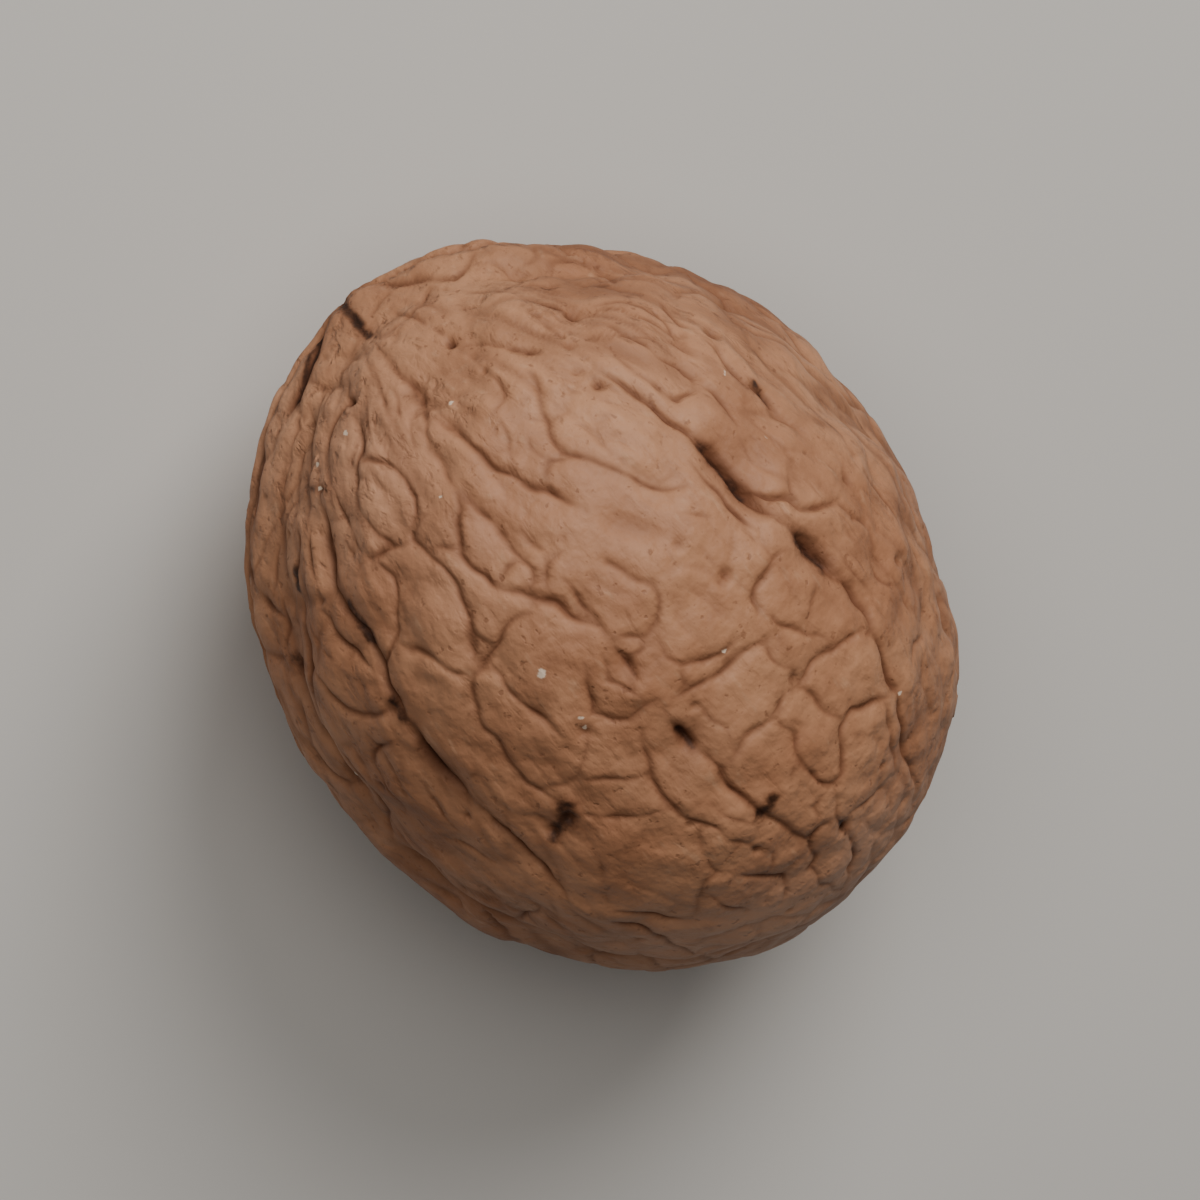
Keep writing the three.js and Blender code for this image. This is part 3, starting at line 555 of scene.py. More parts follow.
class Shell:
    """The walnut's shell: an ellipsoid raised and cut by a height for each of its points."""

    def __init__(self, sizes):
        """Takes the sizes from the sidebar. Waves have a length and a seed."""
        self.sizes = sizes
        self.halves = np.array([sizes.half_length, sizes.half_width, sizes.half_height]) / MM
        self.lumps = make_waves(13, 11)
        self.ripples = make_waves(5, 23)
        self.sway = make_waves(22, 31)
        self.flank = make_waves(9, 43)
        self.wander = [make_waves(6, seed) for seed in (51, 62, 73)]
        self.fine_wander = [make_waves(1.7, seed) for seed in (81, 92, 103)]
        self.unsteady = make_waves(4, 113)
        self.strands = make_waves(3.4, 127)
        self.crumple = make_waves(3.6, 139)
        self.crumple_share = make_waves(6, 151)
        self.dimples = make_waves(2.6, 163)
        self.streaks = make_waves(1.3, 173)
        self.lines = [
            self.make_line(depth, reach, dark, [self.on_cheek(*place) for place in line])
            for depth, reach, dark, lines in LINE_KINDS for line in lines
        ]
        self.lines += [self.hidden_furrow(index) for index in range(HIDDEN_FURROWS)]
        self.smudges = [
            self.make_line(0.0, reach, strength, [self.on_cheek(*place) for place in line])
            for strength, reach, *line in SMUDGES
        ]
        self.cells = self.net_centres(sizes.net_cells)

    def on_ellipsoid(self, directions):
        """The points of the ellipsoid that lie in these directions."""
        return unit(directions) * self.halves

    def normals(self, points):
        """The ellipsoid's outward directions at its points."""
        return unit(points / self.halves**2)

    def on_cheek(self, along, across):
        """The point of the upper cheek seen at a traced place: the line of sight through the
        place, met with the ellipsoid."""
        sight = unit(SIGHT)
        right = unit(np.array([1.0, 0, 0]) - sight[0] * sight)
        up = np.cross(sight, right)
        x = along - TRACE_CENTRE[0]
        y = across - TRACE_CENTRE[1]
        inside = max(0.0, 1 - (x / self.halves[0]) ** 2 - (y / self.halves[1]) ** 2)
        nearness = self.halves[2] * math.sqrt(inside) / SIGHT_DISTANCE
        start = (x * right + y * up) * (1 - nearness) / self.halves
        ray = sight / self.halves
        a = ray @ ray
        b = ray @ start
        c = start @ start - 1
        step = (math.sqrt(max(0.0, b * b - a * c)) - b) / a
        return self.on_ellipsoid(start + step * ray)

    def make_line(self, depth, reach, dark, places):
        """A line of the shell through places on the ellipsoid."""
        curve = smooth_curve(places, TRACE_STEP)
        return Line(depth, reach, dark, self.on_ellipsoid(curve / self.halves))

    def hidden_furrow(self, index):
        """A furrow of the lower cheek, which wanders along the nut."""
        turn = -math.pi * ((index + 0.5) / HIDDEN_FURROWS)
        start = draw_between(*HIDDEN_START, index + 0.2)
        span = draw_between(*HIDDEN_SPAN, index + 0.6)
        depth = draw_between(*HIDDEN_DEPTH, index + 0.8)
        order = np.arange(HIDDEN_PLACES)
        along = np.minimum(HIDDEN_END, start + span * order / (HIDDEN_PLACES - 1))
        out = np.sqrt(1 - along * along)
        side = turn + HIDDEN_SWAY * (draw(index * 7 + order * 1.3) - 0.5)
        places = self.on_ellipsoid(np.stack([along, out * np.cos(side), out * np.sin(side)], axis=1))
        return self.make_line(depth, HIDDEN_REACH, HIDDEN_DARK, places)

    def net_centres(self, count):
        """Centres of the net's cells: a spiral from end to end, each centre then strayed."""
        order = np.arange(count)
        along = 1 - 2 * (order + 0.5) / count
        out = np.sqrt(1 - along * along)
        turn = order * np.pi * (3 - math.sqrt(5))
        centres = np.stack([
            along + NET_STRAY_ALONG * (draw(order + 0.11) - 0.5),
            out * np.cos(turn) + NET_STRAY_ACROSS * (draw(order + 0.23) - 0.5),
            out * np.sin(turn) + NET_STRAY_ACROSS * (draw(order + 0.31) - 0.5),
        ], axis=1)
        return self.on_ellipsoid(centres) * NET_STRETCH

    def net_edge(self, points):
        """Distance to the nearest line of the net, the way to it and the line's strength: a
        line runs midway between the two nearest cell centres, in a space squeezed along the
        nut."""
        place = points + NET_WANDER * np.stack([wander(points) for wander in self.wander], axis=1)
        place = self.frayed(place) * NET_STRETCH
        first = np.full(len(points), np.inf)
        second = np.full(len(points), np.inf)
        own = np.zeros(len(points), int)
        other = np.zeros(len(points), int)
        for index, centre in enumerate(self.cells):
            away = ((place - centre) ** 2).sum(axis=1)
            nearest = away < first
            next_nearest = ~nearest & (away < second)
            second[nearest] = first[nearest]
            other[nearest] = own[nearest]
            first[nearest] = away[nearest]
            own[nearest] = index
            second[next_nearest] = away[next_nearest]
            other[next_nearest] = index
        across = self.cells[other] - self.cells[own]
        length = np.linalg.norm(across, axis=1)
        strength = draw(np.minimum(own, other) * 1.31 + np.maximum(own, other) * 0.77)
        return (second - first) / (2 * length), across / length[:, None], strength

    def frayed(self, points):
        """Points moved slightly to and fro, so that lines measured from them are unsteady."""
        return points + FRAY * np.stack([wander(points) for wander in self.fine_wander], axis=1)

    def seam_place(self, points):
        """How far above or below the seam a point lies. The seam sways, and climbs on one
        side of the tip."""
        from_tip = points[:, 0] + self.halves[0]
        climb = SEAM_CLIMB * np.maximum(points[:, 1], 0) * bell(from_tip, SEAM_CLIMB_REACH)
        return points[:, 2] - SEAM_SWAY * self.sway(points) - climb

    def gather(self, points):
        """Moves grid points along the shell towards the nearest line within reach, so that
        the grid is denser along the furrows, the net and the seam."""
        distance = np.full(len(points), GATHER_REACH)
        move = np.zeros_like(points)
        frayed = self.frayed(points)
        for line in self.lines:
            away, spot, _ = line.gap(frayed, GATHER_REACH)
            nearer = away < distance
            distance[nearer] = away[nearer]
            move[nearer] = (spot - frayed)[nearer]
        away, toward, _ = self.net_edge(points)
        nearer = (away < distance) & (self.net_share(points) > GATHER_NET)
        distance[nearer] = away[nearer]
        move[nearer] = (toward * away[:, None])[nearer]
        place = self.seam_place(points)
        nearer = np.abs(place) < distance
        distance[nearer] = np.abs(place)[nearer]
        move[nearer] = np.stack([0 * place, 0 * place, -place], axis=1)[nearer]
        part = GATHER_SHARE * (1 - distance / GATHER_REACH)
        return self.on_ellipsoid((points + move * part[:, None]) / self.halves)

    def groove(self, distance, reach, shoulder):
        """Cross-section of a line: a sharp middle with soft shoulders."""
        return GROOVE_MIDDLE * bell(distance, reach) + (1 - GROOVE_MIDDLE) * bell(distance, shoulder)

    def net_share(self, points):
        """How much of the drawn net shows: less on the traced cheek, and less on the seam."""
        traced = smooth(*NET_HEIGHTS, points[:, 2] / self.halves[2])
        by_seam = bell(self.seam_place(points), NET_SEAM_REACH)
        return (1 - NET_TRACED_LESS * traced) * (1 - NET_SEAM_LESS * by_seam)

    def line_marks(self, points):
        """How deep and how dark the traced and hidden lines are, and the nearest one's distance."""
        cut = np.zeros(len(points))
        dark = np.zeros(len(points))
        nearest = np.full(len(points), LINE_LIMIT)
        frayed = self.frayed(points)
        steadiness = np.clip(STEADINESS + STEADINESS_CHANGE * self.unsteady(points), *STEADINESS_RANGE)
        for line in self.lines:
            distance, _, fade = line.gap(frayed, LINE_LIMIT)
            nearest = np.minimum(nearest, distance)
            left = fade * (steadiness if line.dark < 1 else 1.0)
            shape = self.groove(distance, line.reach, GROOVE_SHOULDER + line.depth)
            cut = np.maximum(cut, line.depth * left * shape)
            shade = line.dark * np.minimum(1.0, SHADE_LEAST + (1 - SHADE_LEAST) * left)
            dark = np.maximum(dark, shade * bell(distance, SHADE_REACH + line.shade_reach))
        return cut, dark, nearest

    def net_marks(self, points, nearest):
        """How deep and how dark the drawn net is. It leaves room for the lines beside it."""
        edge, _, strength = self.net_edge(points)
        share = self.net_share(points) * smooth(NET_MISSING, NET_WHOLE, strength)
        share *= NET_FAINTEST + (1 - NET_FAINTEST) * strength
        share *= smooth(*NET_ROOM, nearest)
        cut = self.sizes.net_depth / MM * share * self.groove(edge, NET_REACH, NET_SHOULDER)
        return cut, NET_DARK * share * bell(edge, NET_SHADE_REACH)

    def spot_marks(self, points):
        """How deep and dark the pits are, and where stains and the painted shadow along the slots, flecks
        and broad patches lie: a bell curve round each place. The patches are partly wear and tone and
        partly painted light and shade."""
        names = ("pit", "pit_dark", "stain_and_painted_shadow", "fleck", "wear_and_painted_light", "deep")
        marks = {name: np.zeros(len(points)) for name in names}

        def add(name, along, across, radius, amount):
            away = np.linalg.norm(points - self.on_cheek(along, across), axis=1)
            marks[name] = np.maximum(marks[name], amount * bell(away, radius))

        for along, across, radius, depth in PITS:
            add("pit", along, across, radius, depth)
            add("pit_dark", along, across, PIT_SHADE * radius, min(PIT_DARKEST, PIT_DARKENING * depth))
        for line in self.smudges:
            away = line.gap(points, LINE_LIMIT)[0]
            marks["stain_and_painted_shadow"] = np.maximum(marks["stain_and_painted_shadow"], line.dark * bell(away, line.reach))
        for along, across, radius in FLECKS:
            add("fleck", along, across, radius, 1.0)
        for along, across, radius, strength in PATCHES:
            add("wear_and_painted_light" if strength > 0 else "deep", along, across, radius, abs(strength))
        return marks

    def seam_marks(self, points):
        """Height and darkness of the seam: a ridge with a crack along it, and a valley with a
        fold in it on either side."""
        place = self.seam_place(points)
        aside = np.abs(place) - VALLEY_ASIDE - VALLEY_SWAY * self.sway(2 * points)
        strength = np.clip(VALLEY_STRENGTH + VALLEY_CHANGE * self.flank(points), 0.0, 1.0)
        traced = (points[:, 2] > 0) * smooth(0, -VALLEY_TRACED, points[:, 0])
        fold = strength * (1 - traced)
        ridge = self.sizes.seam_ridge / MM * bell(place, RIDGE_REACH)
        height = ridge - CRACK.depth * bell(place, CRACK.reach)
        valley = VALLEY_DEPTH * (VALLEY_LEAST + strength) * bell(aside, VALLEY_REACH)
        height -= valley + VALLEY_FOLD.depth * fold * bell(aside, VALLEY_FOLD.reach)
        crack_dark = CRACK.dark * bell(place, CRACK.shade)
        return height, np.maximum(crack_dark, VALLEY_FOLD.dark * fold * bell(aside, VALLEY_FOLD.shade))

    def roughness(self, points):
        """How rough the shell is, from 0 to 1: more so near the tip, on the flanks and on one
        side of the upper cheek, and less so near the stem end."""
        near_tip = bell(self.halves[0] + points[:, 0], ROUGH_TIP_REACH)
        flank = 1 - smooth(*ROUGH_FLANK, np.abs(points[:, 2]) / self.halves[2])
        side = ROUGH_SIDE_SHARE * smooth(*ROUGH_SIDE, points[:, 1])
        near_stem = self.stem_end(points, *STEM_END)
        rough = np.maximum(near_tip, ROUGH_FLANK_SHARE * flank) + side
        return np.clip(rough * (1 - STEM_END_CALM * near_stem), ROUGH_LEAST, 1)

    def stem_end(self, points, far, near):
        """0 further from the stem end than far, and 1 closer to it than near."""
        return smooth(self.halves[0] - far, self.halves[0] - near, points[:, 0])

    def fan(self, points):
        """Height and darkness of the fine wrinkles that run along the nut and meet at its ends:
        creases where waves, measured lengthwise and round the nut, pass through nought. Also
        where finer streaks run among them, on the flanks near the tip."""
        x, y, z = points.T
        out = np.maximum(np.hypot(y, z), 1)
        spread = self.halves[1] / out
        around = np.stack([FAN_STRETCH * x, y * spread, z * spread], axis=1)
        folds = np.abs(self.strands(around))
        share = smooth(*FAN_ROOM, out)
        middle = bell(folds, FAN.reach * spread)
        height = -FAN.depth * middle - FAN.depth * bell(folds, FAN_SHOULDER * spread)
        flank = 1 - smooth(*STREAK_FLANK, np.abs(z) / self.halves[2])
        near_tip = bell(self.halves[0] + x, STREAK_REACH)
        streaks = smooth(*STREAK_EDGES, self.streaks(around)) * near_tip * flank
        return share * height, FAN.dark * share * bell(folds, FAN.shade * spread), share * streaks

    def crumples(self, points):
        """Height and darkness of the finest creases: they wander where waves pass through
        nought, and come and go."""
        folds = np.abs(self.crumple(points * CRUMPLE_STRETCH + CRUMPLE_FRAY * self.frayed(points)))
        share = smooth(*CRUMPLE_EDGES, self.crumple_share(points))
        height = CRUMPLE.depth * bell(folds, CRUMPLE.reach) + CRUMPLE.depth * bell(folds, CRUMPLE_SHOULDER)
        return -share * height, CRUMPLE.dark * share * bell(folds, CRUMPLE.shade)

    def unevenness(self, points, rough, fan, fine, streaks):
        """Height of the uneven skin: the sum of its lumps, ripples and dimples, of the folds
        less the streaks, and of the broad hills and hollows."""
        ripples = on_rough(RIPPLE_HEIGHTS, rough) * self.ripples(points)
        folds = FAN_HEIGHT * rough * fan + on_rough(CRUMPLE_HEIGHTS, rough) * fine
        uneven = LUMP_HEIGHT * self.lumps(points) + ripples
        uneven += folds - STREAK_DEPTH * streaks
        uneven += on_rough(DIMPLE_HEIGHTS, rough) * self.dimples(points)
        for along, across, radius, swell in BROAD:
            away = np.linalg.norm(points - self.on_cheek(along, across), axis=1)
            uneven += swell * bell(away, radius)
        return uneven

    def surface(self, points):
        """Points of the finished shell, each moved outwards from the ellipsoid by its height: the uneven
        skin less the deepest cut there, with the seam and the flecks, and then the tip less the scar. The
        relief fades towards the flat spot, which is cut off level. Also the marks that the finish reads:
        how dark the lines are, with their own colour and painted shade, how deep they are cut, which the
        finish turns into painted shade, how rough it is, and where streaks, stains and painted slot
        shadows, flecks and patches of wear, tone and painted light and shade lie."""
        cut, dark, nearest = self.line_marks(points)
        net_cut, net_dark = self.net_marks(points, nearest)
        spots = self.spot_marks(points)
        seam, seam_dark = self.seam_marks(points)
        rough = self.roughness(points)
        fan, fan_dark, streaks = self.fan(points)
        fine, fine_dark = self.crumples(points)

        x, y, z = points.T
        deeper = smooth(*DEEPER_SIDE, y) * (z > 0)
        cut = np.maximum(np.maximum(cut, net_cut), spots["pit"]) * (1 + DEEPER * deeper)
        fine_dark = np.maximum(fine_dark, fan_dark * rough)
        fine_dark = (FINE_DARK_LEAST + (1 - FINE_DARK_LEAST) * rough) * fine_dark
        dark = np.maximum.reduce([dark, net_dark, seam_dark, fine_dark, spots["pit_dark"]])
        dark *= 1 - PALER * self.stem_end(points, *PALER_END)

        out = np.hypot(y, z)
        tip = self.sizes.tip_height / MM * bell(out, TIP_REACH) * (x < 0)
        scar = SCAR_DEPTH * bell(out, SCAR_REACH) * (x > 0)
        relief = np.where(z < 0, smooth(*FLAT_ROOM, np.hypot(x, y)), 1.0)
        calm = 1 - SEAM_CALM * bell(z, SEAM_CALM_REACH)
        uneven = self.unevenness(points, rough, fan, fine, streaks)
        height = relief * (calm * (uneven - cut) + seam + FLECK_HEIGHT * spots["fleck"]) + tip - scar
        finished = points + self.normals(points) * height[:, None]
        finished[:, 2] = np.maximum(finished[:, 2], self.sizes.flat_depth / MM - self.halves[2])
        # The line mark is the darkness of lines, net, seam, folds and pits, partly their own colour and
        # partly painted shade; the finish turns the cut depth into painted shade
        marks = {"line": dark * relief, "painted_shade_depth": cut * relief, "rough": rough, "streak": streaks}
        marks.update((name, spots[name]) for name in ("stain_and_painted_shadow", "fleck", "wear_and_painted_light", "deep"))
        return finished, marks


def cube_grid(count):
    """Corners and four-sided faces of a cube from -1 to 1 with count squares along each edge.
    Faces look outwards, and neighbouring sides share their corners."""
    step = np.arange(count + 1)
    u, v = np.meshgrid(step, step, indexing="ij")
    quads = np.stack([u[:-1, :-1], u[1:, :-1], u[1:, 1:], u[:-1, 1:]], axis=-1).reshape(-1, 4)
    quads = quads * (count + 1)
    quads += np.stack([v[:-1, :-1], v[1:, :-1], v[1:, 1:], v[:-1, 1:]], axis=-1).reshape(-1, 4)
    corners, faces = [], []
    for axis in range(3):
        for end in (0, count):
            side = np.zeros((len(u.ravel()), 3), int)
            side[:, axis] = end
            side[:, (axis + 1) % 3] = u.ravel()
            side[:, (axis + 2) % 3] = v.ravel()
            faces.append((quads if end else quads[:, ::-1]) + len(side) * len(corners))
            corners.append(side)
    shared, index = np.unique(np.concatenate(corners), axis=0, return_inverse=True)
    return 2.0 * shared / count - 1.0, index.ravel()[np.concatenate(faces)]


def make_mesh(name, points, faces, marks):
    """A smooth mesh object from corners in metres, faces and a number at each corner for
    every mark."""
    mesh = bpy.data.meshes.new(name)
    mesh.from_pydata(points, [], faces)
    for mark, values in marks.items():
        layer = mesh.attributes.new(mark, "FLOAT", "POINT")
        layer.data.foreach_set("value", values.astype(np.float32))
    mesh.shade_smooth()
    mesh.update()
    piece = bpy.data.objects.new(name, mesh)
    bpy.context.scene.collection.objects.link(piece)
    return piece


class Signal:
    """A socket that a node gives its result through, with arithmetic that adds nodes."""

    def __init__(self, desk, socket):
        self.desk = desk
        self.socket = socket

    def maths(self, operation, *values):
        """The result of a Math node on these values."""
        node = self.desk.tree.nodes.new("ShaderNodeMath")
        node.operation = operation
        for slot, value in zip(node.inputs, values):
            self.desk.put(slot, value)
        return Signal(self.desk, node.outputs[0])

    def __add__(self, other):
        return self.maths("ADD", self, other)

    def __rsub__(self, other):
        return self.maths("SUBTRACT", other, self)

    def __mul__(self, other):
        return self.maths("MULTIPLY", self, other)

    def step(self, start, end):
        """A soft step from 0 at start to 1 at end."""
        return self.desk.node("ShaderNodeMapRange", {"interpolation_type": "SMOOTHSTEP"},
                              {"Value": self, "From Min": start, "From Max": end}, "Result")

    __radd__ = __add__
    __rmul__ = __mul__


class Desk:
    """The node tree of one material, and the few ways nodes are added to it."""

    def __init__(self, name):
        self.material = bpy.data.materials.new(name)
        self.material.use_nodes = True
        self.tree = self.material.node_tree
        self.tree.nodes.clear()

    def put(self, slot, value):
        """Links a signal to a socket, or sets the socket to a plain value."""
        if isinstance(value, Signal):
            self.tree.links.new(value.socket, slot)
        else:
            slot.default_value = value

    def node(self, kind, settings, sockets, output):
        """The named output of a new node with these settings and socket values."""
        node = self.tree.nodes.new(kind)
        for name, value in settings.items():
            setattr(node, name, value)
        for name, value in sockets.items():
            self.put(node.inputs[name], value)
        return Signal(self, node.outputs[output])

    def place(self, stretch):
        """Object coordinates in millimetres, multiplied by a stretch along each axis."""
        source = self.node("ShaderNodeTexCoord", {}, {}, "Object")
        scale = tuple(share / MM for share in stretch)
        return self.node("ShaderNodeVectorMath", {"operation": "MULTIPLY"},
                         {0: source, 1: scale}, "Vector")

    def noise(self, place, scale, detail, rough, bend=0.0):
        """Uneven noise from 0 to 1."""
        sockets = {"Vector": place, "Scale": scale, "Detail": detail, "Roughness": rough,
                   "Distortion": bend}
        return self.node("ShaderNodeTexNoise", {}, sockets, "Fac")

    def mark(self, name):
        """A number that the mesh holds at each corner."""
        return self.node("ShaderNodeAttribute", {"attribute_name": name}, {}, "Fac")

    def blend(self, share, under, over):
        """A colour between two."""
        return self.node("ShaderNodeMix", {"data_type": "RGBA"}, {0: share, 6: under, 7: over}, 2)

    def finish(self, sockets):
        """The material, with a shader that has these socket values on its surface."""
        shader = self.node("ShaderNodeBsdfPrincipled", {}, sockets, "BSDF")
        end = self.tree.nodes.new("ShaderNodeOutputMaterial")
        self.put(end.inputs["Surface"], shader)
        return self.material


def shell_material(finish):
    """Matt tan shell: lighter and deeper tan under specks and grime, with paler and deeper patches that
    are partly wear and tone and partly painted light and shade, rubbed flecks, streaks and slits along the
    nut, and pores. It is brown along the lines, partly their own colour and partly painted shade, with
    more painted shade the deeper the relief is cut. There is near black painted shadow in the slots, near
    black in the stains, and a few white flecks."""
    desk = Desk("walnut_shell")
    place = desk.place((1, 1, 1))
    drawn_out = desk.place((0.35, 1, 1))
    # Darkness of the lines: partly their own colour and partly painted shade, with near black painted
    # shadow in the slots
    line = desk.mark("line")
    rough = desk.mark("rough")

    patches = desk.noise(place, scale=0.15, detail=3, rough=0.6).step(0.35, 0.68)
    clouds = desk.noise(place, scale=0.75, detail=4, rough=0.6).step(0.42, 0.72)
    grime = desk.noise(place, scale=0.5, detail=5, rough=0.72).step(0.53, 0.75)
    specks = desk.noise(place, scale=4.5, detail=2, rough=0.5).step(0.62, 0.8)
    rubbed = desk.noise(drawn_out, scale=1.6, detail=3, rough=0.5).step(0.6, 0.75)
    slits = desk.noise(drawn_out, scale=1.3, detail=3, rough=0.55, bend=0.4).step(0.53, 0.8)
    slits = slits * (0.2 + 0.8 * rough)
    spread = desk.noise(place, scale=1.3, detail=3, rough=0.6) * 1.5 + 0.2
    # Stains, and painted shadow along the slots
    blotch = (desk.mark("stain_and_painted_shadow") * spread).step(0.1, 1.15)
    pores = desk.noise(place, scale=2.0, detail=2, rough=0.5).step(0.24, 0.36)
    broken = desk.noise(place, scale=3.2, detail=4, rough=0.7) * 1.8
    chips = (desk.mark("fleck") * broken).step(0.35, 0.6)

    # Coats of colour from the lowest up: how much of each shows where, and its colour
    coats = (
        (clouds * 0.3, finish.middle),
        (grime * (0.12 + 0.25 * rough), finish.furrow),
        (specks * 0.25, finish.furrow),
        # Paler patches: partly wear and tone, partly painted light
        (desk.mark("wear_and_painted_light"), finish.wear_and_painted_light),
        # Deeper patches: partly tone, partly painted shade
        (desk.mark("deep") * 0.5, finish.furrow),
        (rubbed * (1 - line) * 0.25, finish.pale),
        # Painted shade: browner the deeper the relief is cut
        (desk.mark("painted_shade_depth").step(0.04, 0.8) * 0.5, finish.furrow),
        # The lines' own colour and painted shade, then near black painted shadow in the slots
        (line, finish.furrow),
        (line.step(0.78, 1.0) * 0.9, finish.stain_and_painted_shadow),
        (slits * 0.5, finish.furrow),
        (desk.mark("streak") * 0.45, finish.furrow),
        # Stains, and painted shadow along the slots
        (blotch * 0.85, finish.furrow),
        (blotch.step(0.25, 1.1) * 0.9, finish.stain_and_painted_shadow),
        ((1 - pores) * 0.4, finish.furrow),
        (chips * 0.8, finish.fleck),
    )
    colour = desk.blend(patches, (*finish.light, 1), (*finish.middle, 1))
    for share, paint in coats:
        colour = desk.blend(share, colour, (*paint, 1))

    # Heights of the finest relief in millimetres
    wrinkles = desk.noise(drawn_out, scale=1.5, detail=4, rough=0.6, bend=0.5) * (0.03 + 0.07 * rough)
    dents = desk.noise(place, scale=0.8, detail=2, rough=0.5) * 0.25
    grit = desk.noise(place, scale=7.0, detail=3, rough=0.6) * 0.018
    height = wrinkles + dents + grit + pores * 0.02 + slits * -0.08
    bump = desk.node("ShaderNodeBump", {}, {"Strength": 1.0, "Distance": MM, "Height": height}, "Normal")

    gloss = desk.noise(place, scale=1.6, detail=3, rough=0.6)
    return desk.finish({
        "Base Color": colour, "Roughness": 0.42 + 0.22 * gloss + 0.3 * line, "Normal": bump,
        "IOR": 1.45, "Specular IOR Level": 0.32,
    })


def floor_material(paint):
    """Plain pale matt floor."""
    return Desk("stage_floor").finish({"Base Color": (*paint, 1), "Roughness": 0.85})


def size_setting(name, description, default, top=0.1):
    """A size in metres for the sidebar."""
    return FloatProperty(name=name, description=description, default=default, min=0.0, max=top,
                         subtype="DISTANCE", unit="LENGTH", precision=5)


def colour_setting(name, description, default):
    """A colour for the sidebar."""
    return FloatVectorProperty(name=name, description=description, default=default, size=3,
                               min=0.0, max=1.0, subtype="COLOR")


class WalnutShape(bpy.types.PropertyGroup):
    """Sizes of the shell"""

    half_length: size_setting("Half length", "Centre to either end, without the tip", 19.4 * MM)
    half_width: size_setting("Half width", "Centre to the seam, without its ridge", 16.0 * MM)
    half_height: size_setting("Half height", "Centre to the top of a cheek", 15.8 * MM)
    flat_depth: size_setting("Flat depth", "What the flat spot takes off the lower cheek", 0.45 * MM)
    tip_height: size_setting("Tip height", "Height of the pointed tip", 0.4 * MM)
    seam_ridge: size_setting("Seam ridge", "Height of the ridge along the seam", 0.6 * MM)
    net_depth: size_setting("Net depth", "Depth of the net's strongest lines", 0.4 * MM)
    net_cells: IntProperty(name="Net cells", description="Cells of the net over the shell",
                           default=360, min=10, max=2000)
    # With 129 squares the shell has just under 200,000 triangles
    grid: IntProperty(name="Grid", description="Squares along each side of the shell's grid",
                      default=128, min=8, max=129)


class WalnutFinish(bpy.types.PropertyGroup):
    """Colours of the shell"""

    light: colour_setting("Light", "Lightest tan of the cheeks", (0.50, 0.25, 0.137))
    middle: colour_setting("Middle", "Deeper tan of patches and clouds", (0.38, 0.173, 0.09))
    # Also painted light on some patches, such as at the stem end
    wear_and_painted_light: colour_setting("Worn", "Paler broad patches", (0.62, 0.335, 0.205))
    pale: colour_setting("Pale", "Pale rubbed flecks", (0.64, 0.40, 0.255))
    # Also painted shade along the lines and in the cut relief
    furrow: colour_setting("Furrow", "Brown of furrows, streaks and grime", (0.115, 0.036, 0.014))
    # Also the painted shadow in the slots
    stain_and_painted_shadow: colour_setting("Stain", "Near black of slots and stains", (0.022, 0.009, 0.005))
    fleck: colour_setting("Fleck", "White flecks", (0.8, 0.66, 0.52))


class WalnutStage(bpy.types.PropertyGroup):
    """Floor, light and camera"""

    floor: colour_setting("Floor", "Colour of the floor", (0.62, 0.61, 0.59))
    key: FloatProperty(name="Key light", description="Strength of the main light", default=1.08,
                       min=0.0, subtype="POWER", unit="POWER")
    fill: FloatProperty(name="Fill light", description="Strength of the light all round",
                        default=0.03, min=0.0)
    front: FloatProperty(name="Front light", description="Strength of the soft light beside the camera",
                         default=0.6, min=0.0, subtype="POWER", unit="POWER")
    frame_width: size_setting("Frame width", "Width that the picture takes in", 60 * MM, 1.0)


class WALNUT_OT_shell(bpy.types.Operator):
    """Build the shell, fit it to its solid's box and give it its finish"""

    bl_idname = "walnut.shell"
    bl_label = "Build shell"

    def execute(self, context):
        sizes = context.scene.walnut_shape
        shell = Shell(sizes)
        corners, faces = cube_grid(sizes.grid)
        # The tangent makes the squares about equal in size
        start = shell.on_ellipsoid(np.tan(corners * math.pi / 4))
        points, marks = shell.surface(shell.gather(start))
        box = np.array(SHELL_BOX)
        low = points.min(axis=0)
        points = box[0] + (points - low) * (box[1] - box[0]) / (points.max(axis=0) - low)
        piece = make_mesh("walnut_shell", points, faces, marks)
        piece.data.materials.append(shell_material(context.scene.walnut_finish))
        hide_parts(SHELL_NODE)
        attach(piece, "root")
        return {"FINISHED"}


def aim(thing, place, target, up):
    """Puts a light or camera at a place, looking at a target."""
    back = (place - target).normalized()
    right = up.cross(back).normalized()
    top = back.cross(right)
    turn = Matrix((right, top, back)).transposed()
    thing.matrix_world = Matrix.Translation(place) @ turn.to_4x4()


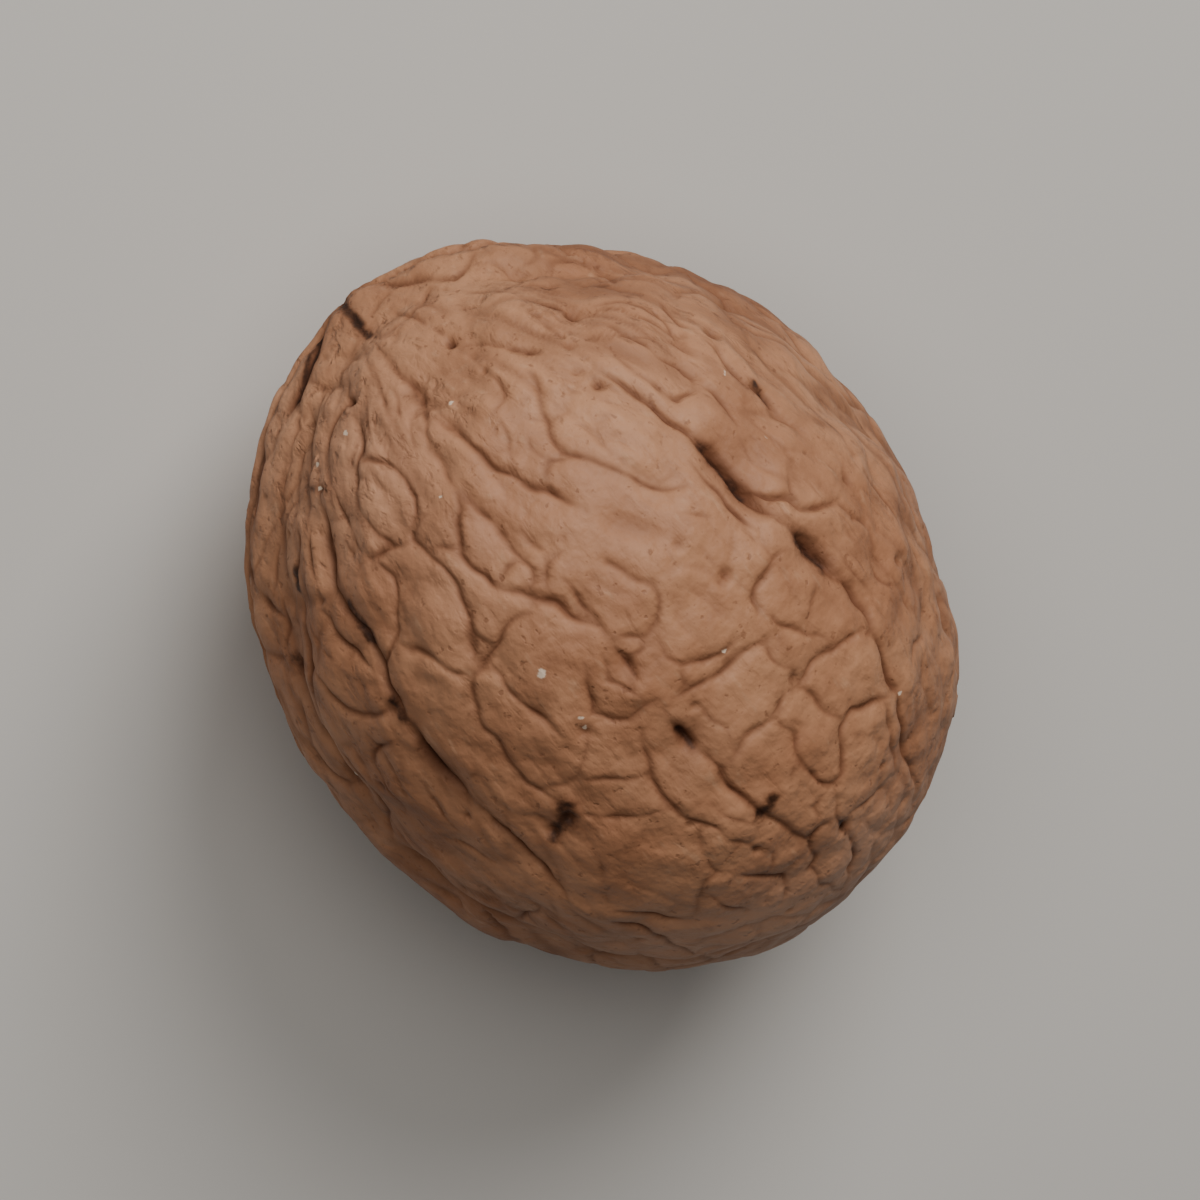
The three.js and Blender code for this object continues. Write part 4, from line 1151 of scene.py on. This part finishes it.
class WALNUT_OT_stage(bpy.types.Operator):
    """Lay the floor, set the lights and aim the camera"""

    bl_idname = "walnut.stage"
    bl_label = "Build stage"

    # In the picture the tip points up and to the left
    TIP_ACROSS = 0.64
    TIP_UP = 0.768
    FLOOR_HALF = 1.5
    SKY_COLOUR = (1.0, 0.96, 0.92, 1)
    LAMP_COLOUR = (1.0, 0.96, 0.91)
    CLIP_START = 0.01

    def execute(self, context):
        choices = context.scene.walnut_stage
        centre = (Vector(CAD_BOX[0]) + Vector(CAD_BOX[1])) / 2
        back = Vector(SIGHT).normalized()
        along = (Vector((1, 0, 0)) - back * back.x).normalized()
        across = back.cross(along)
        right = along * self.TIP_ACROSS + across * self.TIP_UP
        up = across * self.TIP_ACROSS - along * self.TIP_UP
        self.add_floor(context, choices)
        self.add_lights(context, choices, centre, back, right, up)
        self.add_camera(context, choices, centre, back, up)
        return {"FINISHED"}

    def add_floor(self, context, choices):
        """A level square under the nut."""
        half = self.FLOOR_HALF
        mesh = bpy.data.meshes.new("stage_floor")
        corners = [(-half, -half, 0), (half, -half, 0), (half, half, 0), (-half, half, 0)]
        mesh.from_pydata(corners, [], [(0, 1, 2, 3)])
        mesh.materials.append(floor_material(choices.floor))
        floor = bpy.data.objects.new("stage_floor", mesh)
        context.scene.collection.objects.link(floor)

    def add_lights(self, context, choices, centre, back, right, up):
        """A weak light all round and two soft round lamps."""
        world = bpy.data.worlds.new("stage_world")
        context.scene.world = world
        world.use_nodes = True
        sky = world.node_tree.nodes["Background"]
        sky.inputs["Color"].default_value = self.SKY_COLOUR
        sky.inputs["Strength"].default_value = choices.fill
        # Name, power, size and place, measured from the middle of the nut
        lamps = (
            ("stage_key", choices.key, 0.22, up * 0.23 + right * 0.135 + back * 0.27),
            ("stage_front", choices.front, 0.3, back * 0.36 + up * 0.05),
        )
        for name, power, size, place in lamps:
            light = bpy.data.lights.new(name, "AREA")
            light.shape = "DISK"
            light.size = size
            light.energy = power
            light.color = self.LAMP_COLOUR
            lamp = bpy.data.objects.new(name, light)
            context.scene.collection.objects.link(lamp)
            aim(lamp, centre + place, centre, right)

    def add_camera(self, context, choices, centre, back, up):
        """A camera in the line of sight, whose picture takes in the frame's width."""
        data = bpy.data.cameras.new("camera")
        camera = bpy.data.objects.new("camera", data)
        context.scene.collection.objects.link(camera)
        distance = SIGHT_DISTANCE * MM
        data.lens = data.sensor_width * distance / choices.frame_width
        data.clip_start = self.CLIP_START
        aim(camera, centre + back * distance, centre, up)
        context.scene.camera = camera


class WALNUT_PT_sidebar(bpy.types.Panel):
    """Sizes, colours and builders of the walnut"""

    bl_idname = "WALNUT_PT_sidebar"
    bl_label = "Walnut"
    bl_space_type = "VIEW_3D"
    bl_region_type = "UI"
    bl_category = "Walnut"

    def draw(self, context):
        groups = (
            (WALNUT_OT_shell, "walnut_shape", WalnutShape),
            (None, "walnut_finish", WalnutFinish),
            (WALNUT_OT_stage, "walnut_stage", WalnutStage),
        )
        for operator, name, group in groups:
            box = self.layout.box()
            for setting in group.__annotations__:
                box.prop(getattr(context.scene, name), setting)
            if operator:
                box.operator(operator.bl_idname)


CLASSES = (WalnutShape, WalnutFinish, WalnutStage, WALNUT_OT_shell, WALNUT_OT_stage, WALNUT_PT_sidebar)


def register():
    """Adds the classes and the settings that they read."""
    for item in CLASSES:
        bpy.utils.register_class(item)
    bpy.types.Scene.walnut_shape = PointerProperty(type=WalnutShape)
    bpy.types.Scene.walnut_finish = PointerProperty(type=WalnutFinish)
    bpy.types.Scene.walnut_stage = PointerProperty(type=WalnutStage)


def unregister():
    """Takes the settings and the classes away again."""
    del bpy.types.Scene.walnut_stage
    del bpy.types.Scene.walnut_finish
    del bpy.types.Scene.walnut_shape
    for item in reversed(CLASSES):
        bpy.utils.unregister_class(item)


def main():
    """Builds the stage and the shell."""
    register()
    bpy.ops.walnut.stage()
    bpy.ops.walnut.shell()


if __name__ == "__main__":
    main()
